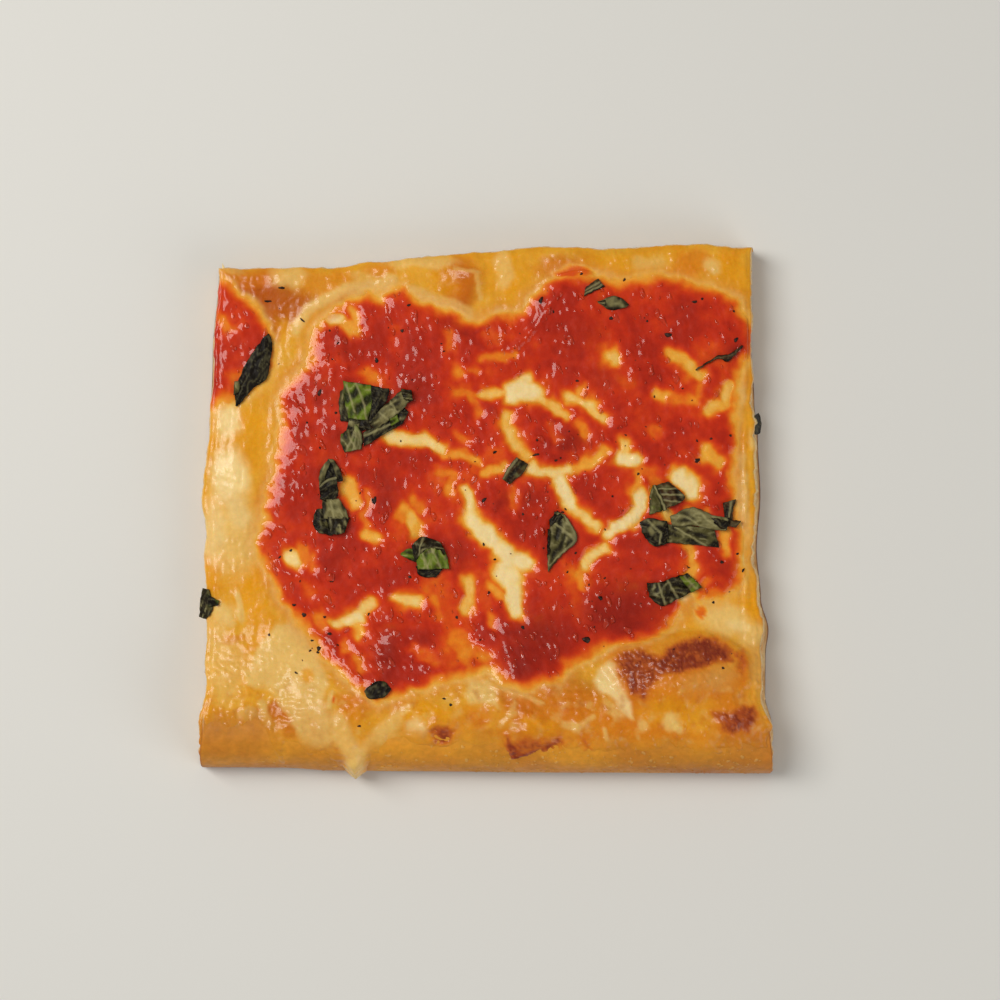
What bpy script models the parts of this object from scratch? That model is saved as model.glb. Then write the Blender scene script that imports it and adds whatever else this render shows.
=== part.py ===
"""A grandma pizza slice, cut square out of a sheet pan.

A slab of dough with three cut sides and, at the front, the rounded rim that
baked against the pan. A melted cheese sheet runs through to the cut sides,
tomato sauce is spread over it, and torn basil leaves lie on top. The front
is -Y. Sizes and outlines are in millimetres and scaled by MM, the model is in
metres. Outlines are drawn on the dough's skin: x runs across, and q runs
from the back to the front along the skin, so it equals y where the slab is
flat and goes on down the front wall.
"""

import bmesh
import bpy
import numpy as np
from mathutils import Vector
from mathutils.bvhtree import BVHTree

MM = 0.001

# Driving sizes of the slab and its rim
DOUGH_HEIGHT = 8.6
RIM_HEIGHT = 14.8
FRONT_Y = -63.2
HALF_WIDTH = 68.0
BACK_LIMIT_Y = 70.0
CREST_INSET = 9.4
RIM_FALL = 27.0
RIM_SQUARENESS = 2.4
FRONT_LIP_HEIGHT = 0.55

# Thickness of the toppings, and the gap that keeps touching solids apart
CHEESE_THICKNESS = 1.9
SAUCE_THICKNESS = 1.5
GAP = 0.36

# The lattice that lets a flat outline bend, coarser on the flat than on the rim
LATTICE_X = np.arange(-67.5, 70.0, 4.5)
LATTICE_Q = np.concatenate([
    np.arange(-73.0, -52.0, 3.0), np.arange(-50.5, 68.0, 4.5)])
SNAP = 0.25

# The cut sides at the base, as stations along each side
LEFT_CUT = [(-62, -70.3), (-52, -69.6), (-42, -68.5), (-21, -68.3), (-8, -68.4),
            (5, -69.2), (15, -68.3), (38, -67.4), (60, -65.8)]
RIGHT_CUT = [(-64, 70.2), (-52, 70.1), (-45, 68.5), (-35, 68.6), (-29, 69.3), (-21, 67.4),
             (-9, 66.4), (4, 67.3), (18, 66.7), (27, 65.8), (42, 65.0), (65, 64.8)]
BACK_CUT = [(-66, 59.8), (-38, 60.0), (-28, 61.4), (-13, 62.8), (-2, 63.7), (17, 65.2),
            (27, 64.5), (55, 65.7), (65, 64.8)]

# How far each cut side leans in from its base to its top edge
LEFT_LEAN = [(-62, 0.9), (-45, 1.2), (0, 1.2), (25, 1.9), (58, 1.7)]
RIGHT_LEAN = [(-62, 0.9), (-45, 2.6), (-20, 3.2), (10, 3.5), (25, 2.8), (36, 1.5), (60, 1.2)]
BACK_LEAN = 1.0
LEAN_REACH = 9.0
FRONT_SWELL = [(-70, 0.9), (-50, 0.8), (-38, 0.1), (-20, -0.1), (20, -0.4), (70, -0.6)]

# Swellings in the dough: centre x and y, half length, half width, height
DOUGH_BUBBLES = [(47, -39, 21, 12, 3.4), (60, -50, 8, 6, 1.1), (11, -52, 9, 6, 1.2),
                 (-13, -50, 9, 6, 1.0), (-52, -44, 13, 9, -1.2), (-5, 57, 8, 6, 0.8),
                 (30, 60, 20, 5, 0.6), (-50, 56, 10, 6, 0.5)]
# Pools where the cheese lies deeper
CHEESE_POOLS = [(-60, 12, 7, 20, 0.7), (-50, -33, 12, 13, 0.8), (-41, -45, 7, 10, 0.4),
                (24, -46, 12, 6, 0.4), (-4, 57, 6, 6, 0.7), (46, -38, 16, 8, -0.6),
                (-32, -63, 7, 9, 1.6)]

# The cheese's own edge on the rim, from left to right, with its two drips
CHEESE_FRONT = [(-69.2, -59.5), (-68.1, -56), (-65.5, -54), (-58, -54.5), (-54, -54),
                (-51.8, -58.5), (-50.2, -64.5), (-48.6, -64.5), (-48.6, -58.5), (-46, -59.5),
                (-43.5, -61.5), (-39, -63), (-36.2, -66), (-35.2, -70.8), (-31.8, -71.6),
                (-28.6, -70.8), (-28.4, -64), (-25.5, -61.5), (-21, -57.5), (-11, -56.8),
                (-6.5, -56.2), (-1.5, -58), (5, -60.8), (11.5, -60), (18, -56.8), (23.5, -57.2),
                (27, -55.5), (47, -55.5), (55, -54.5), (65.5, -54.3), (69.2, -54)]
CHEESE_SIDE_ADVANCE = 0.5

# The sauce spread, clockwise from its back left corner
SAUCE_OUTLINE = [(-45, 45.5), (-38, 50), (-27.5, 54), (-18.5, 53), (-7.5, 48), (-1.5, 47.3),
                 (8, 51.5), (15, 56), (27.5, 55.3), (43, 56.5), (56.5, 53.5), (62, 49),
                 (63, 41.5), (62.6, 34.5), (61.5, 31), (59.5, 26), (59.2, 17.5), (59.8, 9),
                 (61, 0), (61.6, -11.5), (61, -19), (53, -26), (44, -28), (32.5, -33.5),
                 (24, -37.5), (13, -43.5), (3.5, -41), (-1.5, -39.5), (-7.5, -41), (-21, -45),
                 (-27, -45), (-35.5, -41), (-42.5, -32), (-49, -22.5), (-55, -14.5),
                 (-54.5, 4), (-51, 12.5), (-50.6, 22.5), (-47.5, 31), (-45, 35), (-45.6, 40)]
# Windows where the melted cheese broke through the sauce
SAUCE_WINDOWS = [
    [(3.5, 29), (8.5, 31.6), (13, 30.3), (14, 27.6), (8.5, 26.2), (4.4, 26.4)],
    [(-4, 4), (-1.8, 4), (2, -2), (5.4, -7.2), (10.5, -11), (12, -14.5), (9, -18.5),
     (9, -25.2), (6, -25.5), (3.3, -20), (1, -11.5), (-2.4, -2.5)],
    [(6.4, 23.5), (7.7, 17.5), (10.8, 12.4), (14.4, 10), (19.8, 5), (23.8, -0.2), (22.5, -1.6),
     (17.5, 2), (12.3, 8.3), (6.8, 12.2), (4.4, 17.5), (4.6, 23.5)],
    [(26.5, -4.6), (30.5, -1.8), (34.5, 3.2), (38.5, 6.1), (41, 4.4), (38.2, 0.6),
     (33.5, -4), (29, -6.6)],
    [(-22, 19.2), (-15, 18.8), (-6.5, 15.6), (-2, 14), (-2.6, 12.2), (-11.5, 15.2),
     (-21.5, 17)]]
# The patch of sauce that the left cut ran through
CORNER_OUTLINE = [(-64.6, 55.2), (-59.5, 52.5), (-55.6, 47), (-53.5, 42), (-55, 36), (-58.5, 29.5),
                  (-62, 26.8), (-65.2, 28.8), (-65.3, 42)]

# Torn basil: name, centre x and y, length, width, turn in degrees, curl height
BASIL = [("basil_corner", -56.4, 34.8, 18.6, 5.8, 61, 0.9),
         ("basil_green", -31.4, 27.4, 10.6, 6.6, 78, 0.5),
         ("basil_folded", -22.9, 23.4, 12.8, 6.6, 50, 1.2),
         ("basil_tuck", -32.2, 17.8, 8.0, 5.2, 70, 0.6),
         ("basil_upper", -39.0, 9.2, 8.8, 4.6, 105, 0.7),
         ("basil_lower", -37.6, -0.9, 9.2, 7.6, 120, 1.0),
         ("basil_fresh", -14.6, -10.4, 11.8, 7.2, -14, 1.2),
         ("basil_square", 6.7, 10.3, 7.0, 3.6, 55, 0.3),
         ("basil_spear", 17.9, -6.0, 13.4, 6.2, 82, 0.8),
         ("basil_veined", 43.0, 4.4, 9.6, 6.4, 30, 0.5),
         ("basil_long", 47.6, -4.0, 19.0, 6.6, -4, 1.2),
         ("basil_tail", 60.4, -1.0, 5.6, 3.0, 40, 0.6),
         ("basil_rolled", 45.8, -18.6, 13.2, 5.4, 20, 1.2),
         ("basil_grey", 30.7, 51.2, 7.6, 3.2, 8, 0.4),
         ("basil_sliver", 25.9, 54.8, 5.8, 2.0, 38, 0.2),
         ("basil_burnt", 57.8, 37.0, 13.0, 1.6, 28, 0.5),
         ("basil_charred", -26.8, -43.0, 5.6, 3.2, 12, 0.5),
         ("basil_edge_left", -67.0, -21.9, 6.6, 4.4, 76, 0.6),
         ("basil_edge_right", 65.0, 22.0, 5.6, 2.2, 80, 0.3)]
LEAF_THICKNESS = 0.4
LEAF_STEP = 1.9
LEAF_HANG = 1.6

# The torn crumb of the cut sides stands in and out by this much
CRUMB_RELIEF = 0.45


def clear_scene():
    for thing in list(bpy.data.objects):
        bpy.data.objects.remove(thing, do_unlink=True)


def ease(t):
    """Smoothstep: 0 below 0, 1 above 1, level at both ends."""
    t = np.clip(t, 0.0, 1.0)
    return t * t * (3.0 - 2.0 * t)


def between(stations, at):
    """Read a value from stations along a side, easing from each to the next."""
    place, value = np.array(stations, float).T
    i = np.clip(np.searchsorted(place, at) - 1, 0, len(place) - 2)
    t = ease((at - place[i]) / (place[i + 1] - place[i]))
    return value[i] * (1.0 - t) + value[i + 1] * t


def round_curve(points, spacing, closed=True):
    """Catmull-Rom curve through the points, with a sample about every spacing."""
    p = np.array(points, float)
    before, after, last = np.roll(p, 1, 0), np.roll(p, -1, 0), np.roll(p, -2, 0)
    if not closed:
        before[0], after[-1], last[-2:] = p[0], p[-1], p[-1]
    samples = []
    for a, b, c, d in list(zip(before, p, after, last))[:len(p) if closed else -1]:
        steps = max(1, int(round(np.hypot(*(c - b)) / spacing)))
        t = (np.arange(steps) / steps)[:, None]
        samples.append(b + 0.5 * t * (c - a + t * (2 * a - 5 * b + 4 * c - d
                                                   + t * (3 * (b - c) + d - a))))
    return np.vstack(samples)


def rim_profile():
    """Front to back section of the skin: level, an eased rise, a superellipse wall."""
    wall = np.linspace(np.pi / 2, 0.02, 160)[1:]
    crest_y = FRONT_Y + CREST_INSET
    level_y = np.linspace(BACK_LIMIT_Y, crest_y, 400)
    rise = ease((level_y - crest_y) / RIM_FALL)
    y = np.concatenate([level_y, crest_y - CREST_INSET * np.cos(wall) ** (2 / RIM_SQUARENESS)])
    z = np.concatenate([RIM_HEIGHT + (DOUGH_HEIGHT - RIM_HEIGHT) * rise,
                        RIM_HEIGHT * np.sin(wall) ** (2 / RIM_SQUARENESS)])
    run = np.concatenate([[0], np.cumsum(np.hypot(np.diff(y), np.diff(z)))])
    return BACK_LIMIT_Y - run, y, z


SKIN_Q, SKIN_Y, SKIN_Z = rim_profile()
FRONT_Q = float(np.interp(FRONT_LIP_HEIGHT, SKIN_Z[::-1][:150], SKIN_Q[::-1][:150]))


def mounds(x, y, spots):
    """Sum of smooth mounds, each high in its middle and level at its half lengths."""
    height = np.zeros_like(x)
    for cx, cy, half_x, half_y, rise in spots:
        r = np.hypot((x - cx) / half_x, (y - cy) / half_y)
        height += rise * (1.0 - ease(r))
    return height


def ripple(x, y, wave, phase):
    """Gentle uneven swell between -1 and 1: three crossing sines."""
    k = 2 * np.pi / wave
    return (np.sin(k * (x + 0.31 * y) + phase) + np.sin(k * (0.82 * y - 0.47 * x) + 2.1 * phase)
            + np.sin(k * (0.6 * x + 0.7 * y) * 1.37 + 3.7 * phase)) / 3.0


def skin(x, q, lift):
    """Point of the dough's skin at x and q, moved out by lift along the skin's normal."""
    y, z = np.interp(-q, -SKIN_Q, SKIN_Y), np.interp(-q, -SKIN_Q, SKIN_Z)
    step = 0.4
    dy = np.interp(-q - step, -SKIN_Q, SKIN_Y) - np.interp(-q + step, -SKIN_Q, SKIN_Y)
    dz = np.interp(-q - step, -SKIN_Q, SKIN_Z) - np.interp(-q + step, -SKIN_Q, SKIN_Z)
    size = np.hypot(dy, dz)
    normal_y, normal_z = -dz / size, dy / size
    on_rim = ease((FRONT_Y + RIM_FALL - y) / RIM_FALL)
    relief = mounds(x, y, DOUGH_BUBBLES) + 0.35 * ripple(x, y, 34.0, 0.7)
    y = y + on_rim * between(FRONT_SWELL, x) + lift * normal_y
    z = z * (1.0 + 0.03 * on_rim * np.sin(x / 17.0)) + normal_z * (relief + lift)
    return np.stack([x, y, z], 1)


def lean_in(x, y):
    """Shift of a top edge towards the middle, fading to nothing LEAN_REACH inside."""
    near_left = 1.0 - np.clip((x - between(LEFT_CUT, y)) / LEAN_REACH, 0, 1)
    near_right = 1.0 - np.clip((between(RIGHT_CUT, y) - x) / LEAN_REACH, 0, 1)
    near_back = 1.0 - np.clip((between(BACK_CUT, x) - y) / LEAN_REACH, 0, 1)
    shift_x = between(LEFT_LEAN, y) * near_left ** 2 - between(RIGHT_LEAN, y) * near_right ** 2
    return shift_x, -BACK_LEAN * near_back ** 2


def edge_distance(x, q, loops):
    """Distance from each point to the nearest of the outlines' straight steps."""
    nearest = np.full(x.shape, 1e9)
    for loop in loops:
        for (ax, aq), (bx, bq) in zip(loop, np.roll(loop, -1, 0)):
            dx, dq = bx - ax, bq - aq
            t = np.clip(((x - ax) * dx + (q - aq) * dq) / (dx * dx + dq * dq), 0, 1)
            nearest = np.minimum(nearest, np.hypot(x - ax - t * dx, q - aq - t * dq))
    return nearest


def cheese_depth(x, q, loops):
    """Cheese thickness: pools, thin where it runs out on the rim, rounded at the cuts."""
    y = np.interp(-q, -SKIN_Q, SKIN_Y)
    depth = CHEESE_THICKNESS + mounds(x, y, CHEESE_POOLS) + 0.2 * ripple(x, y, 21.0, 2.3)
    at_edge = 0.3 + 0.35 * ease((q + 60.0) / 15.0)
    return depth * (at_edge + (1.0 - at_edge) * ease(edge_distance(x, q, loops) / 4.5))


def sauce_depth(x, q, loops):
    """Sauce thickness: feathered at its outline and windows, uneven between."""
    full = SAUCE_THICKNESS + 0.3 * ripple(x, q, 13.0, 1.1)
    return 0.45 + (full - 0.45) * ease(edge_distance(x, q, loops) / 3.0)


def material(name, colour, roughness):
    """Plain finish from an sRGB colour given as 0 to 255."""
    finish = bpy.data.materials.new(name)
    finish.use_nodes = True
    shader = finish.node_tree.nodes["Principled BSDF"]
    linear = [(c / 255.0) ** 2.2 for c in colour]
    shader.inputs["Base Color"].default_value = (*linear, 1.0)
    shader.inputs["Roughness"].default_value = roughness
    shader.inputs["Metallic"].default_value = 0.0
    return finish


def add_object(name, mesh, finish):
    mesh.name = name
    mesh.materials.clear()
    mesh.materials.append(finish)
    piece = bpy.data.objects.new(name, mesh)
    SLICE.objects.link(piece)
    return piece


def outline_slab(name, loops):
    """Flat outline with its windows, extruded to one millimetre, as a BMesh."""
    outline = bpy.data.curves.new(name + "_outline", "CURVE")
    outline.dimensions = "2D"
    outline.fill_mode = "BOTH"
    outline.extrude = 0.5
    for loop in loops:
        spline = outline.splines.new("POLY")
        spline.points.add(len(loop) - 1)
        spline.points.foreach_set("co", np.hstack([loop, np.tile([0.0, 1.0], (len(loop), 1))]).ravel())
        spline.use_cyclic_u = True
    drawn = bpy.data.objects.new(name + "_outline", outline)
    SLICE.objects.link(drawn)
    evaluated = drawn.evaluated_get(bpy.context.evaluated_depsgraph_get())
    slab = bpy.data.meshes.new_from_object(evaluated)
    bpy.data.objects.remove(drawn, do_unlink=True)
    bm = bmesh.new()
    bm.from_mesh(slab)
    bpy.data.meshes.remove(slab)
    bmesh.ops.remove_doubles(bm, verts=bm.verts, dist=0.01)
    bmesh.ops.dissolve_limit(bm, angle_limit=0.01, verts=[], edges=bm.edges)
    return bm


def layer(name, loops, lower, upper, finish, side_rows=(), side_relief=0.0):
    """Solid between two surfaces.

    The outline's slab is scored along the common lattice, so that it can bend,
    and each point is moved to its height between lower(x, q) and upper(x, q).
    Points part way up a side also stand in or out by the side relief.
    """
    bm = outline_slab(name, loops)
    for axis, lines in enumerate((LATTICE_X, LATTICE_Q, side_rows)):
        normal = Vector((axis == 0, axis == 1, axis == 2))
        for at in lines:
            bmesh.ops.bisect_plane(bm, geom=bm.verts[:] + bm.edges[:] + bm.faces[:],
                                   dist=SNAP, plane_co=normal * at, plane_no=normal)
    flat = np.array([v.co for v in bm.verts])
    share = (flat[:, 2] + 0.5)[:, None]
    low, high = lower(flat[:, 0], flat[:, 1]), upper(flat[:, 0], flat[:, 1])
    placed = low + (high - low) * share
    tears = 4.0 * share[:, 0] * (1.0 - share[:, 0]) * ripple(placed[:, 0] + placed[:, 1],
                                                             placed[:, 0] - placed[:, 1], 11.0, 0.9)
    placed[:, :2] += side_relief * tears[:, None] * placed[:, :2] / HALF_WIDTH
    for vertex, place in zip(bm.verts, placed * MM):
        vertex.co = place
    return finish_mesh(name, bm, finish)


def finish_mesh(name, bm, finish):
    """Weld, triangulate and shade a finished solid."""
    underside = [f for f in bm.faces if all(abs(v.co.z) < 1e-6 for v in f.verts)]
    if underside:
        bmesh.ops.dissolve_faces(bm, faces=underside)
    bmesh.ops.remove_doubles(bm, verts=bm.verts, dist=0.02 * MM)
    bmesh.ops.triangulate(bm, faces=bm.faces, quad_method="SHORT_EDGE", ngon_method="BEAUTY")
    bmesh.ops.recalc_face_normals(bm, faces=bm.faces)
    mesh = bpy.data.meshes.new(name)
    bm.to_mesh(mesh)
    bm.free()
    mesh.shade_smooth()
    mesh.set_sharp_from_angle(angle=np.radians(50))
    return add_object(name, mesh, finish)


def crust_outline():
    """The slab's base on the skin: left cut, front, right cut, then back."""
    down, across, up = np.linspace(58, -60, 34), np.linspace(-68, 68, 36), np.linspace(-60, 63, 36)
    back = np.linspace(63, -64, 34)
    left = np.stack([between(LEFT_CUT, down), down], 1)
    front_corners = [(between(LEFT_CUT, np.array(FRONT_Y)), FRONT_Q),
                     (between(RIGHT_CUT, np.array(FRONT_Y)), FRONT_Q)]
    right = np.stack([between(RIGHT_CUT, up), up], 1)
    far = np.stack([back, between(BACK_CUT, back)], 1)
    rim_left = [(between(LEFT_CUT, np.array(FRONT_Y)), q) for q in (-63, -66, -69.5)]
    rim_right = [(between(RIGHT_CUT, np.array(FRONT_Y)), q) for q in (-69.5, -66, -63)]
    front = np.stack([across, np.full(across.shape, FRONT_Q)], 1)
    return np.vstack([left, rim_left, front_corners[:1], front, front_corners[1:], rim_right,
                      right, far])


def crust_base(x, q):
    """Flat underside below each point of the skin."""
    base = skin(x, q, 0.0)
    base[:, 2] = 0.0
    return base


def crust_top(x, q):
    """The skin, with its cut edges leaning in."""
    y = np.interp(-q, -SKIN_Q, SKIN_Y)
    shift_x, shift_y = lean_in(x, y)
    return skin(x + shift_x, q + shift_y, 0.0)


def cheese_outline():
    """The cheese's edge: the leaning cut edges, and its own run-out on the rim."""
    down, up = np.linspace(57.5, -52, 45), np.linspace(-50, 62, 45)
    back = np.linspace(61, -62, 48)
    left = between(LEFT_CUT, down) + between(LEFT_LEAN, down)
    right = between(RIGHT_CUT, up) - between(RIGHT_LEAN, up)
    advance = CHEESE_SIDE_ADVANCE * (0.6 + ripple(up, up, 17.0, 0.4))
    far = between(BACK_CUT, back) - BACK_LEAN + 0.3 * ripple(back, back, 9.0, 1.9)
    front = round_curve(CHEESE_FRONT, 2.0, closed=False)
    return np.vstack([np.stack([left, down], 1), front, np.stack([right + advance, up], 1),
                      np.stack([back, far], 1)])


def surface_below(solids, x, y):
    """Highest point of the solids under x and y, within a leaf step of it."""
    top = -1.0
    for dx in (-1.1, 0.0, 1.1):
        for dy in (-1.1, 0.0, 1.1):
            start = Vector(((x + dx) * MM, (y + dy) * MM, 0.05))
            for solid in solids:
                hit = solid.ray_cast(start, Vector((0, 0, -1)))[0]
                if hit is not None:
                    top = max(top, hit.z)
    return top


def leaf(name, cx, cy, length, width, turn, curl, solids, finish):
    """Torn basil: a grid narrowed to a leaf, waved, laid on what is below it.

    Along the leaf u and across it v run from -1 to 1. The half width is a
    rounded oval with blunt torn ends, and the edges lift by the curl.
    """
    along, over = max(3, int(length / LEAF_STEP)), max(2, int(width / LEAF_STEP))
    bm = bmesh.new()
    bmesh.ops.create_grid(bm, x_segments=along, y_segments=over, size=1.0)
    bmesh.ops.triangulate(bm, faces=bm.faces, quad_method="FIXED")
    angle = np.radians(turn)
    lowest = surface_below(solids, cx, cy) - LEAF_HANG * MM
    for vertex in bm.verts:
        u, v = vertex.co.x, vertex.co.y
        half = 0.5 * width * (0.14 + 0.86 * np.cos(1.33 * u) ** 0.7) * (1 + 0.12 * np.sin(5 * u + cx))
        bend = 0.08 * length * (1 - u * u)
        px, py = 0.5 * length * u, half * v + bend * np.sin(cx + cy)
        x = cx + px * np.cos(angle) - py * np.sin(angle)
        y = cy + px * np.sin(angle) + py * np.cos(angle)
        lift = curl * (0.6 * v * v + 0.25 * (1 + np.sin(3.1 * u + 2 * v + cx)))
        rest = max(surface_below(solids, x, y), lowest) + (GAP + 0.5 * LEAF_THICKNESS + 0.06) * MM
        vertex.co = Vector((x * MM, y * MM, rest + lift * MM))
    mesh = bpy.data.meshes.new(name)
    bm.to_mesh(mesh)
    piece = add_object(name, mesh, finish)
    wall = piece.modifiers.new("leaf thickness", "SOLIDIFY")
    wall.thickness = LEAF_THICKNESS * MM
    wall.offset = 0.0
    bm.free()
    return piece


def tree_of(piece):
    """Search tree of a piece as it is shown, its modifiers included."""
    depsgraph = bpy.context.evaluated_depsgraph_get()
    return BVHTree.FromObject(piece, depsgraph)


clear_scene()
SLICE = bpy.data.collections.new("grandma_pizza_slice")
bpy.context.scene.collection.children.link(SLICE)

CRUMB = material("baked_dough", (200, 140, 70), 0.7)
CHEESE = material("melted_cheese", (226, 170, 90), 0.35)
SAUCE = material("tomato_sauce", (180, 48, 22), 0.3)
BASIL_GREEN = material("baked_basil", (52, 54, 28), 0.55)

crust = layer("crust", [crust_outline()], crust_base, crust_top, CRUMB,
              side_rows=(-0.12, 0.22), side_relief=CRUMB_RELIEF)

cheese_loop = [cheese_outline()]


def cheese_lower(x, q):
    return skin(x, q, GAP)


def cheese_upper(x, q):
    return skin(x, q, GAP + cheese_depth(x, q, cheese_loop))


cheese = layer("cheese", cheese_loop, cheese_lower, cheese_upper, CHEESE)


def sauce_layer(name, loops):
    """Sauce lying on the cheese."""
    def lower(x, q):
        return skin(x, q, 2 * GAP + cheese_depth(x, q, cheese_loop))

    def upper(x, q):
        return skin(x, q, 2 * GAP + cheese_depth(x, q, cheese_loop) + sauce_depth(x, q, loops))

    return layer(name, loops, lower, upper, SAUCE)


sauce_loops = [round_curve(SAUCE_OUTLINE, 2.6)] + [round_curve(w, 2.2) for w in SAUCE_WINDOWS]
sauce = sauce_layer("sauce", sauce_loops)
sauce_corner = sauce_layer("sauce_corner", [round_curve(CORNER_OUTLINE, 2.4)])

laid = [tree_of(crust), tree_of(cheese), tree_of(sauce), tree_of(sauce_corner)]
for name, *shape in BASIL:
    piece = leaf(name, *shape, laid, BASIL_GREEN)
    bpy.context.view_layer.update()
    laid.append(tree_of(piece))
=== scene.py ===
"""Looks of a square-cut grandma pizza slice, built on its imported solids.

The slice's sizes, places and outlines are in millimetres and scaled by MM.
Outlines lie on the dough's skin: x runs across, and q runs from the back to the
front along the skin, so it equals y where the slab is flat and goes on down the
front wall.
"""

import bpy
import numpy as np
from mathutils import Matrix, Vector


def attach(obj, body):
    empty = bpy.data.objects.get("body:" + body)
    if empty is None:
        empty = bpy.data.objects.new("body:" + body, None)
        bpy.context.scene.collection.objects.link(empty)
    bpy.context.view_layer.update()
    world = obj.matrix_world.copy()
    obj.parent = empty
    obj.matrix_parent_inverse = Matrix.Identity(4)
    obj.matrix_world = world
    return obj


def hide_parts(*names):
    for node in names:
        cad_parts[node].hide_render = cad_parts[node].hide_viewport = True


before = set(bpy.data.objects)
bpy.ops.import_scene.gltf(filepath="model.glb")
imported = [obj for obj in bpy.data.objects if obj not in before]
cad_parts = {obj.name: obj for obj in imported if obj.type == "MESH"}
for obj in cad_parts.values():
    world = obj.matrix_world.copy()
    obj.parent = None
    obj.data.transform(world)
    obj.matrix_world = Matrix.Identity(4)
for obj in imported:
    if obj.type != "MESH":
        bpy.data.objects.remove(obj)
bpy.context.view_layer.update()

# The dough slab. A wheat dough pressed into an oiled sheet pan: it rises to a
# golden rim against the pan at the front, fries brown underneath, and its three
# cut sides show the open cream crumb.

MM = 0.001
DOUGH_HEIGHT = 8.6
RIM_HEIGHT = 14.8
FRONT_Y = -63.2
BACK_LIMIT_Y = 70.0
CREST_INSET = 9.4
RIM_FALL = 27.0
RIM_SQUARENESS = 2.4
WALL_FOOT_HEIGHT = 2.6
LEFT_CUT = [(-62, -70.3), (-52, -69.6), (-42, -68.5), (-21, -68.3), (-8, -68.4),
            (5, -69.2), (15, -68.3), (38, -67.4), (60, -65.8)]
RIGHT_CUT = [(-64, 70.2), (-52, 70.1), (-45, 68.5), (-35, 68.6), (-29, 69.3), (-21, 67.4),
             (-9, 66.4), (4, 67.3), (18, 66.7), (27, 65.8), (42, 65.0), (65, 64.8)]
BACK_CUT = [(-66, 59.8), (-38, 60.0), (-28, 61.4), (-13, 62.8), (-2, 63.7), (17, 65.2),
            (27, 64.5), (55, 65.7), (65, 64.8)]
LEFT_LEAN = [(-62, 0.9), (-45, 1.2), (0, 1.2), (25, 1.9), (58, 1.7)]
RIGHT_LEAN = [(-62, 0.9), (-45, 2.6), (-20, 3.2), (10, 3.5), (25, 2.8), (36, 1.5), (60, 1.2)]
BACK_LEAN = 1.0
HALF_WIDTH = 67.0
SKIN_LIFT = 0.2
FRONT_SWELL = [(-70, 0.9), (-50, 0.8), (-38, 0.1), (-20, -0.1), (20, -0.4), (70, -0.6)]
DOUGH_BUBBLES = [(47, -39, 21, 12, 3.4), (60, -50, 8, 6, 1.1), (11, -52, 9, 6, 1.2),
                 (-13, -50, 9, 6, 1.0), (-52, -44, 13, 9, -1.2), (-5, 57, 8, 6, 0.8),
                 (30, 60, 20, 5, 0.6), (-50, 56, 10, 6, 0.5)]


def ease(t):
    """Smoothstep: 0 below 0, 1 above 1, level at both ends."""
    t = np.clip(t, 0.0, 1.0)
    return t * t * (3.0 - 2.0 * t)


def between(stations, at):
    """Read a value from stations along a side, easing from each to the next."""
    place, value = np.array(stations, float).T
    i = np.clip(np.searchsorted(place, at) - 1, 0, len(place) - 2)
    t = ease((at - place[i]) / (place[i + 1] - place[i]))
    return value[i] * (1.0 - t) + value[i + 1] * t


def scatter(ix, iy, seed):
    """Repeatable value from 0 to 1 at whole-number places: the far digits of a sine."""
    h = np.sin(ix * 127.1 + iy * 311.7 + seed * 74.7) * 43758.5453
    return h - np.floor(h)


def noise(x, y, size, seed):
    """Gradient noise of about -1 to 1: random slopes a size apart, joined by eased steps."""
    gx, gy = x / size, y / size
    ix, iy = np.floor(gx), np.floor(gy)
    fx, fy = gx - ix, gy - iy
    total = 0.0
    for cx in (0, 1):
        for cy in (0, 1):
            turn = 2 * np.pi * scatter(ix + cx, iy + cy, seed)
            slope = np.cos(turn) * (fx - cx) + np.sin(turn) * (fy - cy)
            total = total + slope * (1 - ease(abs(fx - cx))) * (1 - ease(abs(fy - cy)))
    return 1.5 * total


def layered(x, y, size, seed, layers=4):
    """Noise on noise: each layer half the size and half the height of the last."""
    return sum(noise(x, y, size / 2 ** k, seed + 11 * k) / 2 ** k for k in range(layers))


def cells(x, y, size, seed):
    """Scattered points, one to a square of that size: distance to the nearest and next, its lot.

    Distances are in squares; the lot is a random number that the nearest point carries.
    """
    gx, gy = x / size, y / size
    ix, iy = np.floor(gx), np.floor(gy)
    near, following, lot = np.full(x.shape, 9.0), np.full(x.shape, 9.0), np.zeros(x.shape)
    for cx in (-1, 0, 1):
        for cy in (-1, 0, 1):
            px, py = ix + cx, iy + cy
            dx = px + 0.15 + 0.7 * scatter(px, py, seed) - gx
            dy = py + 0.15 + 0.7 * scatter(px, py, seed + 5) - gy
            d = np.hypot(dx, dy)
            closer = d < near
            following = np.where(closer, near, np.minimum(following, d))
            lot = np.where(closer, scatter(px, py, seed + 9), lot)
            near = np.where(closer, d, near)
    return near, following, lot


def rim_profile():
    """Front to back section of the skin: level, an eased rise, a superellipse wall."""
    wall = np.linspace(np.pi / 2, 0.02, 160)[1:]
    crest_y = FRONT_Y + CREST_INSET
    level_y = np.linspace(BACK_LIMIT_Y, crest_y, 400)
    rise = ease((level_y - crest_y) / RIM_FALL)
    y = np.concatenate([level_y, crest_y - CREST_INSET * np.cos(wall) ** (2 / RIM_SQUARENESS)])
    z = np.concatenate([RIM_HEIGHT + (DOUGH_HEIGHT - RIM_HEIGHT) * rise,
                        RIM_HEIGHT * np.sin(wall) ** (2 / RIM_SQUARENESS)])
    run = np.concatenate([[0], np.cumsum(np.hypot(np.diff(y), np.diff(z)))])
    return BACK_LIMIT_Y - run, y, z


SKIN_Q, SKIN_Y, SKIN_Z = rim_profile()
FOOT_Q = float(np.interp(WALL_FOOT_HEIGHT, SKIN_Z[::-1][:150], SKIN_Q[::-1][:150]))


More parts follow.
